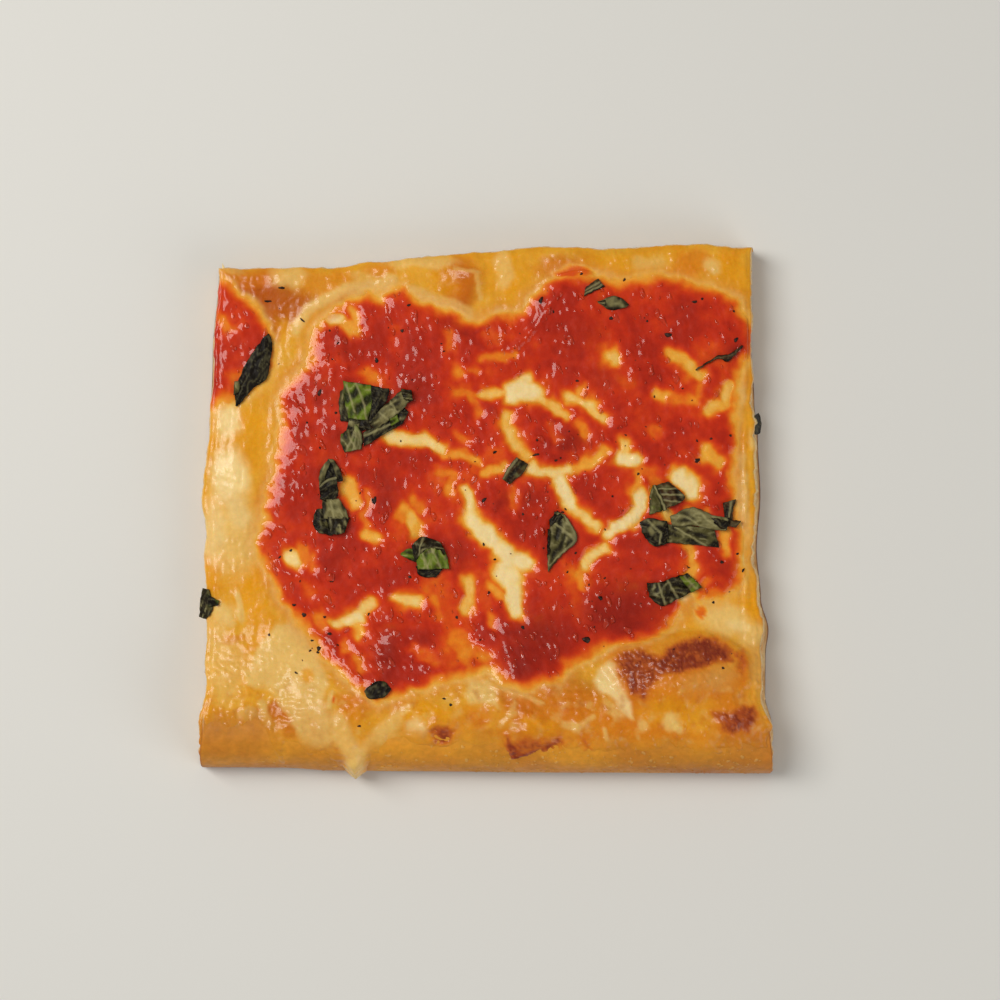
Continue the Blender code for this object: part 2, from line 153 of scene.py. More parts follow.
def y_of(q):
    """Depth y of a place q along the skin, read off the profile."""
    return np.interp(-q, -SKIN_Q, SKIN_Y)


def z_of(q):
    """Height z of a place q along the skin, read off the profile."""
    return np.interp(-q, -SKIN_Q, SKIN_Z)


def q_of(y):
    """Place q along the skin at a depth y, read off the profile."""
    return np.interp(-y, -SKIN_Y, SKIN_Q)


def left_edge(y):
    """Left edge of the top: the cut at the base, moved in by its lean."""
    return between(LEFT_CUT, y) + between(LEFT_LEAN, y)


def right_edge(y):
    """Right edge of the top: the cut at the base, moved in by its lean."""
    return between(RIGHT_CUT, y) - between(RIGHT_LEAN, y)


def back_edge(x):
    """Back edge of the top: the cut at the base, moved in by its lean."""
    return between(BACK_CUT, x) - BACK_LEAN


def rim_share(y):
    """How much of the rim's forms a depth y takes: 1 at the front, 0 where the slab is flat."""
    return ease((FRONT_Y + RIM_FALL - y) / RIM_FALL)


def mounds(x, y, spots):
    """Sum of smooth mounds, each high in its middle and level at its half lengths."""
    height = np.zeros_like(x)
    for cx, cy, half_x, half_y, rise in spots:
        r = np.hypot((x - cx) / half_x, (y - cy) / half_y)
        height += rise * (1.0 - ease(r))
    return height


def ripple(x, y, wave, phase):
    """Gentle uneven swell between -1 and 1: three crossing sines."""
    k = 2 * np.pi / wave
    return (np.sin(k * (x + 0.31 * y) + phase) + np.sin(k * (0.82 * y - 0.47 * x) + 2.1 * phase)
            + np.sin(k * (0.6 * x + 0.7 * y) * 1.37 + 3.7 * phase)) / 3.0


def skin(x, q, lift):
    """Point of the dough's skin at x and q, moved out by lift along the skin's normal."""
    y, z = y_of(q), z_of(q)
    step = 0.4
    dy, dz = y_of(q + step) - y_of(q - step), z_of(q + step) - z_of(q - step)
    size = np.hypot(dy, dz)
    normal_y, normal_z = -dz / size, dy / size
    on_rim = rim_share(y)
    relief = mounds(x, y, DOUGH_BUBBLES) + 0.35 * ripple(x, y, 34.0, 0.7)
    y = y + on_rim * between(FRONT_SWELL, x) + lift * normal_y
    z = z * (1.0 + 0.03 * on_rim * np.sin(x / 17.0)) + normal_z * (relief + lift)
    return np.stack([x, y, z], -1)


def colour(red, green, blue):
    """Linear colour from the 0 to 255 values that a screen shows."""
    c = np.array([red, green, blue]) / 255.0
    return np.where(c <= 0.04045, c / 12.92, ((c + 0.055) / 1.055) ** 2.4)


def tinge(base, wanted, amount):
    """Blend a base colour, or one for every point, towards another by an amount."""
    amount = np.clip(np.asarray(amount, float), 0.0, 1.0)[..., None]
    return base * (1.0 - amount) + wanted * amount


def coated(base, *coats):
    """Base colour under coats laid one on another, each a colour and its amount."""
    for wanted, amount in coats:
        base = tinge(base, wanted, amount)
    return base


def put(name, data):
    """New object with its data, linked into the scene."""
    made = bpy.data.objects.new(name, data)
    bpy.context.scene.collection.objects.link(made)
    return made


def surface(name, points, faces, tints):
    """Mesh object from points in millimetres and arrays of faces, one array per corner count.

    Each point carries its colour in the attribute tint.
    """
    mesh = bpy.data.meshes.new(name)
    corners = np.concatenate([f.ravel() for f in faces])
    sizes = np.concatenate([np.full(len(f), f.shape[1]) for f in faces])
    starts = np.concatenate([[0], np.cumsum(sizes)[:-1]])
    mesh.vertices.add(len(points))
    mesh.vertices.foreach_set("co", (points * MM).astype(np.float32).ravel())
    mesh.loops.add(len(corners))
    mesh.loops.foreach_set("vertex_index", corners.astype(np.int32))
    mesh.polygons.add(len(sizes))
    mesh.polygons.foreach_set("loop_start", starts.astype(np.int32))
    mesh.update(calc_edges=True)
    mesh.validate()
    mesh.shade_smooth()
    painted = mesh.attributes.new("tint", "FLOAT_COLOR", "POINT")
    shades = np.hstack([tints, np.ones((len(points), 1))])
    painted.data.foreach_set("color", shades.astype(np.float32).ravel())
    return put(name, mesh)


def fill(node, **settings):
    """A shader node with some of its inputs set, each joined to a source or given a value."""
    for label, setting in settings.items():
        socket = node.inputs[label.replace("_", " ")]
        if isinstance(setting, bpy.types.NodeSocket):
            node.id_data.links.new(setting, socket)
        else:
            socket.default_value = setting
    return node


WET_PATCHES = 420.0
SEEP_DEPTH = 0.0018
SEEP_BY_COLOUR = (1.0, 0.45, 0.2)


def food_finish(name, roughness, grain, bumps, juiciness, coat=0.0, coat_roughness=0.2, gloss=0.3):
    """Principled finish that reads a piece's tint.

    grain lists (noise scale per metre, strength) for uneven lightness, bumps
    lists (scale, depth in metres) for relief finer than the mesh, roughness is
    a low and a high value, juiciness is the share of light that seeps in, and
    gloss is the specular level.
    """
    finish = bpy.data.materials.new(name)
    finish.use_nodes = True
    tree = finish.node_tree
    shader = tree.nodes["Principled BSDF"]
    places = tree.nodes.new("ShaderNodeTexCoord").outputs["Object"]

    def add(kind, **settings):
        """A new node with some of its inputs set."""
        return fill(tree.nodes.new("ShaderNode" + kind), **settings)

    def uneven(scale, detail):
        """Cloudy noise on the piece's own places."""
        return add("TexNoise", Vector=places, Scale=scale, Detail=detail).outputs["Fac"]

    def stretched(pattern, low, high, to_low, to_high):
        """A pattern's range from low to high stretched over another, level beyond it."""
        spread = add("MapRange", Value=pattern, From_Min=low, From_Max=high, To_Min=to_low, To_Max=to_high)
        return spread.outputs["Result"]

    tint = add("Attribute")
    tint.attribute_name = "tint"
    shown = tint.outputs["Color"]
    for scale, strength in grain:
        scaled = add("VectorMath")
        scaled.operation = "SCALE"
        speckle = stretched(uneven(scale, 4.0), 0.3, 0.7, 1.0 - strength, 1.0 + strength)
        shown = fill(scaled, Vector=shown, Scale=speckle).outputs["Vector"]
    wet = stretched(uneven(WET_PATCHES, 2.0), 0.35, 0.65, *roughness)
    for scale, depth in bumps:
        bump = add("Bump", Height=uneven(scale, 3.0), Strength=1.0, Distance=depth)
        if shader.inputs["Normal"].is_linked:
            fill(bump, Normal=shader.inputs["Normal"].links[0].from_socket)
        fill(shader, Normal=bump.outputs["Normal"])
    fill(shader, Base_Color=shown, Roughness=wet, Subsurface_Weight=juiciness,
         Subsurface_Radius=SEEP_BY_COLOUR, Subsurface_Scale=SEEP_DEPTH, Specular_IOR_Level=gloss,
         Coat_Weight=coat, Coat_Roughness=coat_roughness)
    return finish


def serve(piece, finish, slot, *nodes):
    """Give a piece its finish and let it ride on the slice in place of nodes; slot is not used."""
    piece.data.materials.append(finish)
    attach(piece, "root")
    if nodes:
        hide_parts(*nodes)
    return piece


def slab_points(a, b, w):
    """Points of the slab: a across, b back to front, w from the base to the top edge.

    The top follows the skin between the leaning cut edges, the base lies flat
    below it, and the wall between them leans from one to the other.
    """
    x = -HALF_WIDTH + 2 * HALF_WIDTH * a
    top_back = back_edge(x)
    q = top_back + (FOOT_Q - top_back) * b
    y = y_of(q)
    left, right = left_edge(y), right_edge(y)
    top = skin(left + (right - left) * a, q, SKIN_LIFT)
    base_back = between(BACK_CUT, x)
    base_y = 0.6 * (y + (base_back - top_back) * (1 - b)) + 0.4 * (base_back + (FRONT_Y - base_back) * b)
    left, right = between(LEFT_CUT, base_y), between(RIGHT_CUT, base_y)
    base_x = left + (right - left) * a
    base = np.stack([base_x, base_y + rim_share(base_y) * between(FRONT_SWELL, base_x), 0.0 * a], -1)
    return base + (top - base) * w[..., None]


def unit_loop(side_steps, front_steps):
    """Walk round the unit square, left side, front, right side, back, and its outward directions."""
    down, over = np.arange(side_steps) / side_steps, np.arange(front_steps) / front_steps
    a = np.concatenate([0 * down, over, 0 * down + 1, 1 - over])
    b = np.concatenate([down, 0 * over + 1, 1 - down, 0 * over])
    out_x = np.concatenate([0 * down - 1, 0 * over, 0 * down + 1, 0 * over])
    out_y = np.concatenate([0 * down, 0 * over - 1, 0 * down, 0 * over + 1])
    return a, b, out_x, out_y


def crumb_relief(along, z, top):
    """Open crumb of a cut side: pits of burst bubbles in two sizes over a torn, uneven face."""
    dense = ease((z - 0.9) / 1.6)
    near, _, lot = cells(along, z * 1.25, 2.3, 31)
    pits = 0.95 * (1 - ease(near / (0.28 + 0.3 * lot))) * (lot > 0.35)
    near, _, lot = cells(along, z * 1.1, 1.05, 37)
    pits = pits + 0.35 * (1 - ease(near / 0.5)) * (lot > 0.4)
    torn = 0.45 * layered(along, z, 4.5, 41) + 0.12 * noise(along, z, 0.8, 43)
    fade = ease(z / 0.7) * ease((top - z) / 0.7)
    return fade * (torn * (0.3 + 0.7 * dense) - pits * dense)


def drawn_in(share, shrink):
    """A share across the slab moved towards the middle, 0.5, by a shrink from 0 to 1."""
    return 0.5 + (share - 0.5) * (1 - shrink)


def ringed_cap(shrinks, w):
    """Rings of the slab's loop drawn in towards its middle, at the base or the top."""
    a, b = drawn_in(loop_a, shrinks[:, None]), drawn_in(loop_b, shrinks[:, None])
    return slab_points(a, b, np.full(a.shape, float(w)))


def rim_lumps(x, q):
    """Soft lumps of the uneven baked skin: layered noise."""
    return 0.22 * layered(x, q, 9.0, 53, 3)


def band_quads(rows, flip=False):
    """Faces between rows of point numbers that close round the loop."""
    low, high = rows[:-1], rows[1:]
    quads = np.stack([low, np.roll(low, -1, 1), np.roll(high, -1, 1), high], -1).reshape(-1, 4)
    return quads[:, ::-1] if flip else quads


SIDE_STEPS, FRONT_STEPS, WALL_ROWS = 215, 225, 24
TOP_RINGS = np.concatenate([np.linspace(0.0, 0.345, 50), [0.4, 0.5, 0.65, 0.8, 0.96]])
BASE_RINGS = np.linspace(0.0, 0.98, 17)

loop_a, loop_b, out_x, out_y = unit_loop(SIDE_STEPS, FRONT_STEPS)
loop_count = len(loop_a)
wall_w = np.linspace(0, 1, WALL_ROWS + 1)[:, None] * np.ones(loop_count)
wall = slab_points(loop_a + 0 * wall_w, loop_b + 0 * wall_w, wall_w)
along_side = np.where(abs(out_x) > 0, wall[..., 1], wall[..., 0])
cut_face = 1.0 - abs(out_y) * (loop_b > 0.5)
relief = crumb_relief(along_side + 300 * out_x + 90 * out_y, wall[..., 2], wall[-1, :, 2]) * cut_face
wall[..., 0] += out_x * relief
wall[..., 1] += out_y * relief
top_cap, base_cap = ringed_cap(TOP_RINGS[1:], 1), ringed_cap(BASE_RINGS[1:], 0)
cap_back = back_edge(top_cap[..., 0])
cap_q = cap_back + (FOOT_Q - cap_back) * drawn_in(loop_b, TOP_RINGS[1:, None])
top_cap[..., 2] += rim_lumps(top_cap[..., 0], cap_q) * (TOP_RINGS[1:, None] > 0.012)
base_cap[..., 2] += 0.22 * ease(layered(base_cap[..., 0], base_cap[..., 1], 6.0, 57) - 0.1)
dough_points = np.concatenate([wall.reshape(-1, 3), top_cap.reshape(-1, 3), base_cap.reshape(-1, 3)])
wall_rows = np.arange(wall[..., 0].size).reshape(WALL_ROWS + 1, loop_count)
top_rows = wall_rows.size + np.arange(top_cap[..., 0].size).reshape(-1, loop_count)
base_rows = wall_rows.size + top_rows.size + np.arange(base_cap[..., 0].size).reshape(-1, loop_count)
dough_faces = [band_quads(wall_rows), band_quads(np.vstack([wall_rows[-1:], top_rows])),
               band_quads(np.vstack([wall_rows[:1], base_rows]), flip=True),
               top_rows[-1:], base_rows[-1:, ::-1]]

RIM_GOLD = colour(226, 152, 40)
RIM_BROWN = colour(190, 112, 34)
RIM_FOOT = colour(146, 84, 38)
CRUMB_CREAM = colour(240, 204, 146)
CRUMB_GOLD = colour(214, 150, 74)
CRUMB_SHADE = colour(156, 96, 42)
FRIED_BROWN = colour(150, 84, 34)
FRIED_DARK = colour(90, 48, 22)


def rim_tint(x, height):
    """Baked skin colour: gold, browner to the sides, darker down the front wall as the pan's browning and as
    painted shade, and darkest at the foot that lay against the pan.
    """
    browner_and_shaded = (0.2 + 0.4 * layered(x, 2.2 * height, 15.0, 61) + 0.4 * ease((x - 15) / 55)
               + 0.35 * ease((-40 - x) / 25) + 0.45 * (1 - ease(height / 13.0)))
    return tinge(tinge(RIM_GOLD, RIM_BROWN, browner_and_shaded), RIM_FOOT, 0.9 * (1 - ease((height - 0.2) / 2.4)))


px, py, pz = dough_points.T
pitted, is_cut, is_under, below_top = np.zeros((4, len(dough_points)))
pitted[:wall_rows.size] = -relief.ravel()
# Painted shade: the crumb darkens towards CRUMB_SHADE in its deeper pits.
crumb = coated(CRUMB_CREAM, (CRUMB_GOLD, 0.35 + 0.5 * layered(px + py, pz * 2, 5.0, 63)),
               (CRUMB_SHADE, 0.75 * ease((pitted - 0.1) / 0.7)), (FRIED_BROWN, 1 - ease((pz - 0.3) / 1.1)))
darkened = ease(0.5 + layered(px, py, 11.0, 67) + 0.3 * noise(px, py, 2.0, 69))
under = coated(FRIED_BROWN, (FRIED_DARK, darkened),
               (CRUMB_GOLD, 0.5 * ease(layered(px, py, 7.0, 71) - 0.15)))
is_cut[:wall_rows.size] = np.broadcast_to(cut_face, wall_rows.shape).ravel()
below_top[:wall_rows.size] = (wall[-1:, :, 2] - wall[..., 2]).ravel()
is_under[base_rows.ravel()] = 1.0
is_under[wall_rows[0]] = 1.0
baked_edge = ease((-48 - py) / 6) * (1 - ease((below_top - 0.3) / 0.9))
dough_tint = coated(rim_tint(px, pz), (tinge(crumb, RIM_BROWN, baked_edge), is_cut), (under, is_under))

crust = surface("crust_dough", dough_points, dough_faces, dough_tint)
baked_dough = food_finish("baked_dough", (0.42, 0.62), [(90, 0.10), (700, 0.10)],
                          [(900, 0.00010), (2600, 0.00005)], 0.12)
serve(crust, baked_dough, "crust", "crust")

# The cheese. Fresh mozzarella melted into one sheet over the dough: oily and
# golden round the edge, pale where it pooled, browned on the blisters, and run
# over the rim in two drips. The cuts drag it down over the crumb a little.

CHEESE_GAP = 0.36
CHEESE_SUNK = 0.28
CHEESE_THICKNESS = 1.9
UNDER_SAUCE_RISE = 0.5
CHEESE_POOLS = [(-60, 12, 7, 20, 0.7), (-50, -33, 12, 13, 0.6), (-41, -45, 7, 10, 0.3),
                (-4, 57, 6, 6, 0.7), (46, -38, 16, 8, -0.6), (-32, -63, 6, 9, 1.0)]
CHEESE_FRONT = [(-74, -61), (-69.2, -59.5), (-68.1, -56), (-65.5, -54), (-58, -54.5), (-54, -54),
                (-51.8, -58.5), (-50.2, -64.5), (-48.6, -65), (-47.4, -59), (-46, -59.5),
                (-43.5, -61.5), (-39, -62), (-36.4, -64.5), (-34.8, -71), (-31.8, -72),
                (-29.2, -71), (-27.8, -64.5), (-25.5, -60.5), (-21, -57.5), (-11, -57.8),
                (-6.5, -56.8), (-1.5, -58), (5, -61), (11.5, -60), (18, -60), (23.5, -60.6),
                (27, -60), (47, -60.2), (55, -59.8), (65.5, -59.2), (69.2, -59), (74, -59)]
SAUCE_OUTLINE = [(-41.8, 44.5), (-38.3, 48), (-34, 51.2), (-28.5, 53), (-25.8, 52.2),
                 (-23, 54.3), (-20, 54.3), (-17, 51.8), (-13, 50.3), (-9, 49.2), (-5.5, 47.2),
                 (-3, 46.2), (0, 47.2), (3, 48.6), (6, 47.6), (9, 48.8), (10.5, 52), (14, 54.8),
                 (18, 57), (23, 57.8), (28, 57), (32, 55.8), (38, 57), (43, 57.6), (48, 56),
                 (53, 54.8), (58, 53.4), (60.5, 51.5), (62, 48.5), (64.3, 46.5), (65, 42.5),
                 (64.5, 38.5), (61.8, 36.4), (61, 31), (60.6, 26), (60.2, 18), (59.8, 9),
                 (60, 1), (61.8, -6), (62.2, -13), (61, -18.5), (57.5, -20.6), (52.8, -20.6),
                 (48.5, -22.5), (45.6, -26.5), (42, -30.4), (36, -32), (30, -33.5), (25, -36),
                 (19.8, -38.5), (18, -41.5), (12, -42.8), (8, -43.8), (4, -43.2), (2.3, -40.5),
                 (0, -39), (-5, -41.2), (-10, -41.6), (-15, -43.6), (-22, -45.6), (-27, -47),
                 (-30, -44.6), (-35, -40.4), (-41, -32.6), (-45, -27.2), (-50, -20.4),
                 (-53, -14), (-55.5, -8), (-54.4, -2), (-53, 5), (-51.5, 10), (-50.3, 16),
                 (-49.6, 22), (-50.2, 27.5), (-48.4, 31), (-45, 34), (-42.8, 38)]
CORNER_OUTLINE = [(-69, 57), (-64, 56), (-60, 53.5), (-56, 50.3), (-53, 45.8), (-51.2, 41),
                  (-52, 36), (-55, 30.8), (-60, 27.2), (-64, 26.8), (-69, 27.4)]
# Windows and thin streaks in the sauce: a path, its half width, how clean the cheese shows
SAUCE_WINDOWS = [
    ([(6.5, 29), (9, 29.8), (11, 29.4)], 2.6, 1.0), ([(8.6, 31), (10.4, 32.3)], 1.0, 0.95),
    ([(4.5, 28.6), (-1, 28.8)], 0.7, 0.85), ([(-2, 28.7), (-6.6, 29)], 0.6, 0.6),
    ([(-3.6, 28), (-1.8, 24.4)], 0.6, 0.6), ([(12, 28), (15, 26.6), (19.4, 23.6)], 1.0, 0.85),
    ([(19.8, 27.6), (22.4, 27.2), (25.2, 26), (28, 23)], 1.1, 0.85),
    ([(22.8, 27.5), (22.6, 29.8)], 0.5, 0.7), ([(-1, 9.8), (4, 10.6)], 0.7, 0.75),
    ([(4.6, 23.6), (5.8, 19.4), (7.4, 16), (9.6, 13.6)], 0.9, 0.8),
    ([(10.6, 11), (13, 10), (16, 9.4), (19.8, 9.9)], 1.1, 0.95),
    ([(19.8, 9.9), (24, 11.4), (27.4, 13.6), (29.2, 15)], 0.8, 0.75),
    ([(17.6, 7.8), (19.2, 4.4), (20.4, 2)], 1.4, 1.0), ([(20.4, 2), (23.6, -1), (26.6, -3)], 1.1, 0.9),
    ([(29.8, -5.2), (32.2, -3.2), (35.6, -1.4), (37, 1.4), (37, 4.6)], 1.4, 1.0),
    ([(33.6, 16.8), (33.6, 13.6)], 0.8, 0.9), ([(32.8, 13), (35.6, 12.6)], 1.7, 1.0),
    ([(36.6, 10.4), (40.4, 9.8), (41.6, 5.6)], 1.0, 0.6), ([(36.4, 5.6), (36.6, 9)], 0.8, 0.7),
    ([(46.2, 8.6), (48.8, 6.8), (50, 4.8)], 2.0, 1.0),
    ([(40.8, 5.2), (42.6, 1.6), (44.4, -1.4)], 0.8, 0.85),
    ([(48.4, 0.6), (53, 0)], 0.7, 0.6), ([(53.4, 14.8), (56.4, 12.4)], 1.7, 0.8),
    ([(44.4, 38.6), (47, 37), (51.8, 33.4)], 1.2, 0.78), ([(51.6, 32.4), (51.4, 29.8)], 0.6, 0.5),
    ([(30, 38.2), (30.8, 37.4)], 1.5, 0.85), ([(31.6, 35), (35, 31)], 1.6, 0.3),
    ([(40.6, 28.6), (43.6, 28)], 0.8, 0.75), ([(45, 27.4), (50.4, 27.2)], 0.7, 0.5),
    ([(53.6, 24.8), (58.4, 26.2), (58.6, 30.8)], 1.0, 0.8),
    ([(52, 40), (58, 36), (60, 30)], 2.4, 0.35), ([(40, 20.4), (41.2, 19.4)], 0.8, 0.5),
    ([(15.6, 20.8), (17, 18)], 0.5, 0.5), ([(22.4, 21.4), (23.6, 19.2)], 0.5, 0.6),
    ([(6, 5.4), (6.4, 1)], 0.4, 0.45), ([(49, -21.4), (48.7, -28)], 1.5, 1.0),
    ([(47.8, -6.4), (49.6, -9), (50, -13), (48.4, -17), (50, -20)], 1.0, 0.75),
    ([(57.6, -4.6), (58, -9.6)], 0.8, 0.75), ([(52.6, -18), (54, -16.6)], 0.5, 0.5),
    ([(24, -12.6), (25.2, -10.6), (28.6, -8.4)], 1.0, 0.92), ([(22.8, -14.4), (22.8, -18)], 0.5, 0.6),
    ([(20, -13), (21.4, -20), (22.4, -26)], 1.2, 0.3), ([(-4.6, 5), (-3.4, -0.6)], 1.2, 0.95),
    ([(-3.4, -1.6), (1.2, -6.8)], 2.0, 1.0), ([(3.2, -9), (6.4, -11.4), (9, -12.4)], 2.3, 1.0),
    ([(4.6, -14), (5.8, -16)], 2.9, 1.0), ([(6.6, -18), (6.9, -24)], 1.5, 1.0),
    ([(1, -17.6), (4, -20.6)], 0.9, 0.7), ([(-1, -22), (0, -16)], 1.6, 0.35),
    ([(0.6, -24.8), (1.8, -27.8)], 0.6, 0.65),
    ([(-24.2, 18.9), (-20, 17.7), (-15, 17.8), (-11, 15.4)], 1.1, 0.95),
    ([(-10.6, 14), (-6.4, 14), (-2, 12.6)], 0.7, 0.7), ([(-11.4, 10.2), (-8, 9.6), (-8.8, 5.6)], 0.8, 0.6),
    ([(-7.2, 18.6), (-5.4, 17)], 0.8, 0.5), ([(-12, 8), (-4, 8), (2, 13)], 2.4, 0.35),
    ([(-33.6, 7.4), (-32, 2.8)], 1.5, 0.8),
    ([(-29, 5.4), (-28.4, 2), (-30, -0.6), (-28.8, -4.4)], 0.6, 0.6),
    ([(-28.8, -5.2), (-26.4, -6.2)], 0.9, 0.8), ([(-18.4, -1), (-16.6, -5)], 1.3, 0.8),
    ([(-21, -1), (-19.4, 1)], 0.8, 0.65), ([(-17.4, 3.6), (-15.8, 0.6)], 0.6, 0.6),
    ([(-20, -3), (-14, -1)], 3.0, 0.3), ([(-47.8, -10.4), (-46.4, -12.2)], 1.3, 0.95),
    ([(-45, -8.8), (-44.2, -12)], 0.9, 0.6), ([(-42.6, -11.2), (-41.6, -13)], 0.6, 0.6),
    ([(-43.4, -17.8), (-43, -19.4)], 0.7, 0.45), ([(-21, -20.8), (-17, -21.6)], 1.2, 0.9),
    ([(-12.8, -20.6), (-11.2, -25.2)], 0.7, 0.5),
    ([(-4.4, -16.6), (-4.2, -19.8), (-5.2, -23.4)], 1.4, 0.85),
    ([(-36.4, -27), (-32, -25.6), (-28, -21.8)], 1.4, 0.9), ([(-33.4, -26.4), (-30.6, -25.2)], 1.2, 1.0),
    ([(-31.6, -28), (-31, -30.2)], 0.9, 0.75), ([(-40.6, -25.4), (-40.2, -28)], 0.9, 0.6),
    ([(-34.2, -32), (-34, -34.4)], 0.6, 0.6), ([(-31.4, -36.6), (-30.6, -38.6)], 0.8, 0.6),
    ([(-7, -31), (-5, -34.6)], 2.6, 0.6), ([(-2.4, -34.6), (0, -36)], 1.4, 0.55),
    ([(-13, -17), (-6, -27), (-9, -36)], 3.4, 0.4), ([(-17.4, -34), (-12, -37)], 1.0, 0.5),
    ([(-37.6, 47), (-35.6, 46.4)], 1.0, 0.95), ([(-34, 45.6), (-32, 44)], 1.2, 0.75),
    ([(-32.4, 48.6), (-32, 46)], 0.8, 0.75), ([(-46, 44), (-43.6, 38.6), (-46.6, 34)], 1.4, 0.7),
    ([(-29, 33.8), (-27, 32.4)], 1.1, 0.6), ([(-1.6, 37.8), (2, 37.4), (6.4, 38.2)], 0.6, 0.65),
    ([(0, 42.4), (2, 41.6)], 0.9, 0.4), ([(-6.8, 34.2), (-6.4, 33.8)], 0.6, 0.55),
    ([(-3.2, 34.4), (-2.6, 34)], 0.5, 0.5), ([(2, 34), (6, 36)], 3.2, 0.25),
    ([(-8.8, 43), (-9, 40.4)], 0.8, 0.5), ([(-22.2, 43), (-22, 40)], 1.2, 0.25)]
CORNER_WINDOWS = [([(-64.6, 46.8), (-62.6, 44.6)], 0.9, 0.6), ([(-58, 55), (-52, 48)], 1.4, 0.4),
                  ([(-61, 32), (-60, 28.6)], 1.2, 0.4)]
# Spots of sauce that lie off the main spread: centre and half lengths
SAUCE_SPOTS = [(52.2, -24.2, 1.8, 3.2), (21.5, 58.4, 7.0, 2.2), (-33, 50.4, 2.6, 1.0),
               (-36.6, -46.6, 1, 1)]
# Firm shapes on the cheese, as outlines
PALE_FLOW = [(-54.3, -30.9), (-51, -27), (-47.1, -26.3), (-43.6, -30.9), (-39.8, -37.4), (-37.9, -43),
             (-39.4, -46.6), (-38.2, -51), (-37, -57.5), (-35.5, -62), (-42.2, -61), (-44.9, -54.6),
             (-46.3, -51.2), (-48.5, -48.8), (-50, -45.2), (-53.4, -43.2), (-57.7, -43),
             (-58.2, -39.6), (-57, -36)]
PALE_POCKET = [(29.8, -36.6), (27, -39), (25.6, -41.4), (27, -44), (31, -46.4), (35.4, -50.8),
               (34.8, -46.6), (31.8, -42.2), (31.4, -38)]
FRONT_BLOB = [(-5.6, -45), (-3.4, -41.4), (0.6, -41.2), (1.8, -44), (3.2, -48.4), (0, -47), (-4, -47)]
# Blisters: an outline and how dark it has baked
BLISTERS = [
    ([(41.2, -36.6), (44.6, -33.4), (50, -30.9), (55, -31.3), (59, -34.2), (58.8, -36.2), (54, -37.4),
      (49.5, -38.8), (45, -39.8), (41.4, -40)], 1.0),
    ([(31.2, -36), (35, -33.8), (38.6, -34.8), (42, -35.8), (42.4, -40), (39.8, -42.6), (37.6, -46.4),
      (35, -44.8), (32.6, -40.4)], 0.86),
    ([(59.6, -35), (62, -34.2), (63.3, -37.6), (62, -41.4), (60.6, -39.6)], 0.62),
    ([(54.8, -49), (58, -49.5), (61, -48), (64.2, -47.7), (65, -50.4), (63.6, -53), (59, -53.6),
      (56.8, -52.2)], 0.9),
    ([(4.6, -54.4), (5.8, -55), (8.2, -58.4), (12, -57.2), (17.6, -54.8), (18.4, -55.8), (13, -58.8),
      (7, -61.4), (5.2, -60)], 0.95),
    ([(4.6, -56), (8.6, -54.6), (16.6, -55), (12.8, -57.8), (6.2, -61)], 0.66),
    ([(-13.4, -53.6), (-11.8, -52.3), (-9.4, -52.4), (-7.7, -53.8), (-8.8, -55.6), (-12, -55.8)], 0.8),
    ([(-2.8, -51.2), (-1.2, -50.4), (0.2, -51.4), (-1.2, -52.8)], 0.4),
    ([(22.8, -54.6), (24.8, -55), (25.2, -57.4), (23.2, -58.6), (24, -56.6)], 0.55),
    ([(61, -41.6), (62.4, -41.4), (62.2, -43), (61, -42.8)], 0.45)]
BLISTER_DOME = [(27.6, -38.5), (29.2, -34.6), (33, -32.4), (38, -30.7), (43, -29.3), (51.4, -28.6),
                (57, -29.8), (61, -32), (64.4, -35.2), (64.6, -42), (60, -48), (40, -50), (32, -46)]
LONG_DRIP = [(-31.8, -57), (-31.8, -73)]
TRIANGLE = [(3.8, -53.6), (9, -51.6), (18.6, -54.4), (13, -57.8), (5.8, -62)]
CRATER = [(-20, -55), (-17, -51.4), (-12, -50), (-7.2, -51.4), (-6, -55), (-9, -58.4), (-16, -58.6)]
# Strings and ridges of cheese: a path, half width, rise and how pale it is
CHEESE_STRINGS = [
    ([(-54.3, -47.4), (-52.9, -51.2), (-51.2, -58), (-48.9, -64.6)], 1.1, 0.55, 0.75),
    # The ridge along the pale flow's left edge is pale both as cheese and as a painted highlight.
    ([(-58.4, -39.6), (-57, -42.8), (-53, -43.6), (-50.2, -45.6), (-48.6, -49), (-46.3, -51.6),
      (-44.8, -55), (-42.6, -60)], 0.8, 0.4, 0.6),
    ([(-35.6, -51.6), (-34.6, -55.4), (-32.2, -59.6)], 2.2, 0.4, 0.7),
    ([(-21.8, -50.8), (-25, -53.6), (-28.6, -57.4), (-31.4, -61)], 1.8, 0.4, 0.6),
    ([(-31.9, -62), (-31.8, -71.6)], 2.0, 2.5, 1.0),
    # The pale tint of this short ridge is a painted highlight.
    ([(-36.9, -44.6), (-38, -48.4)], 0.5, 0.35, 0.8),
    ([(-46.4, 44.4), (-43.4, 48.8), (-39.3, 51.6), (-34.2, 54.1), (-27.6, 54.8), (-23, 56.2)], 1.4, 0.5, 0.9),
    ([(-18, 53.4), (-14, 51.9), (-9, 50.6), (-4.4, 48.2)], 1.5, 0.4, 0.7),
    ([(2.4, -43.4), (6, -44.6), (10, -45.4), (13.4, -47.2)], 0.5, 0.55, 0.5),
    ([(-7.6, 59), (-2.2, 58), (-1.4, 51.8)], 0.5, 0.35, 0.5),
    ([(-60.4, -20), (-59.4, -26)], 0.7, 0.4, 0.8), ([(-64.4, -23), (-62, -26.6)], 1.2, 0.5, 0.8),
    ([(62.6, 9), (62.9, 2), (63.1, -6)], 0.9, 0.3, 0.6), ([(25.8, -50), (21, -53)], 0.6, 0.4, 0.6),
    ([(28.6, -52.8), (29, -55)], 0.5, 0.4, 0.7), ([(44, -50.4), (46.6, -52.8)], 1.0, 0.5, 0.8),
    ([(6.8, -46.8), (5.4, -50), (3.6, -52.6)], 0.5, 0.4, 0.5)]


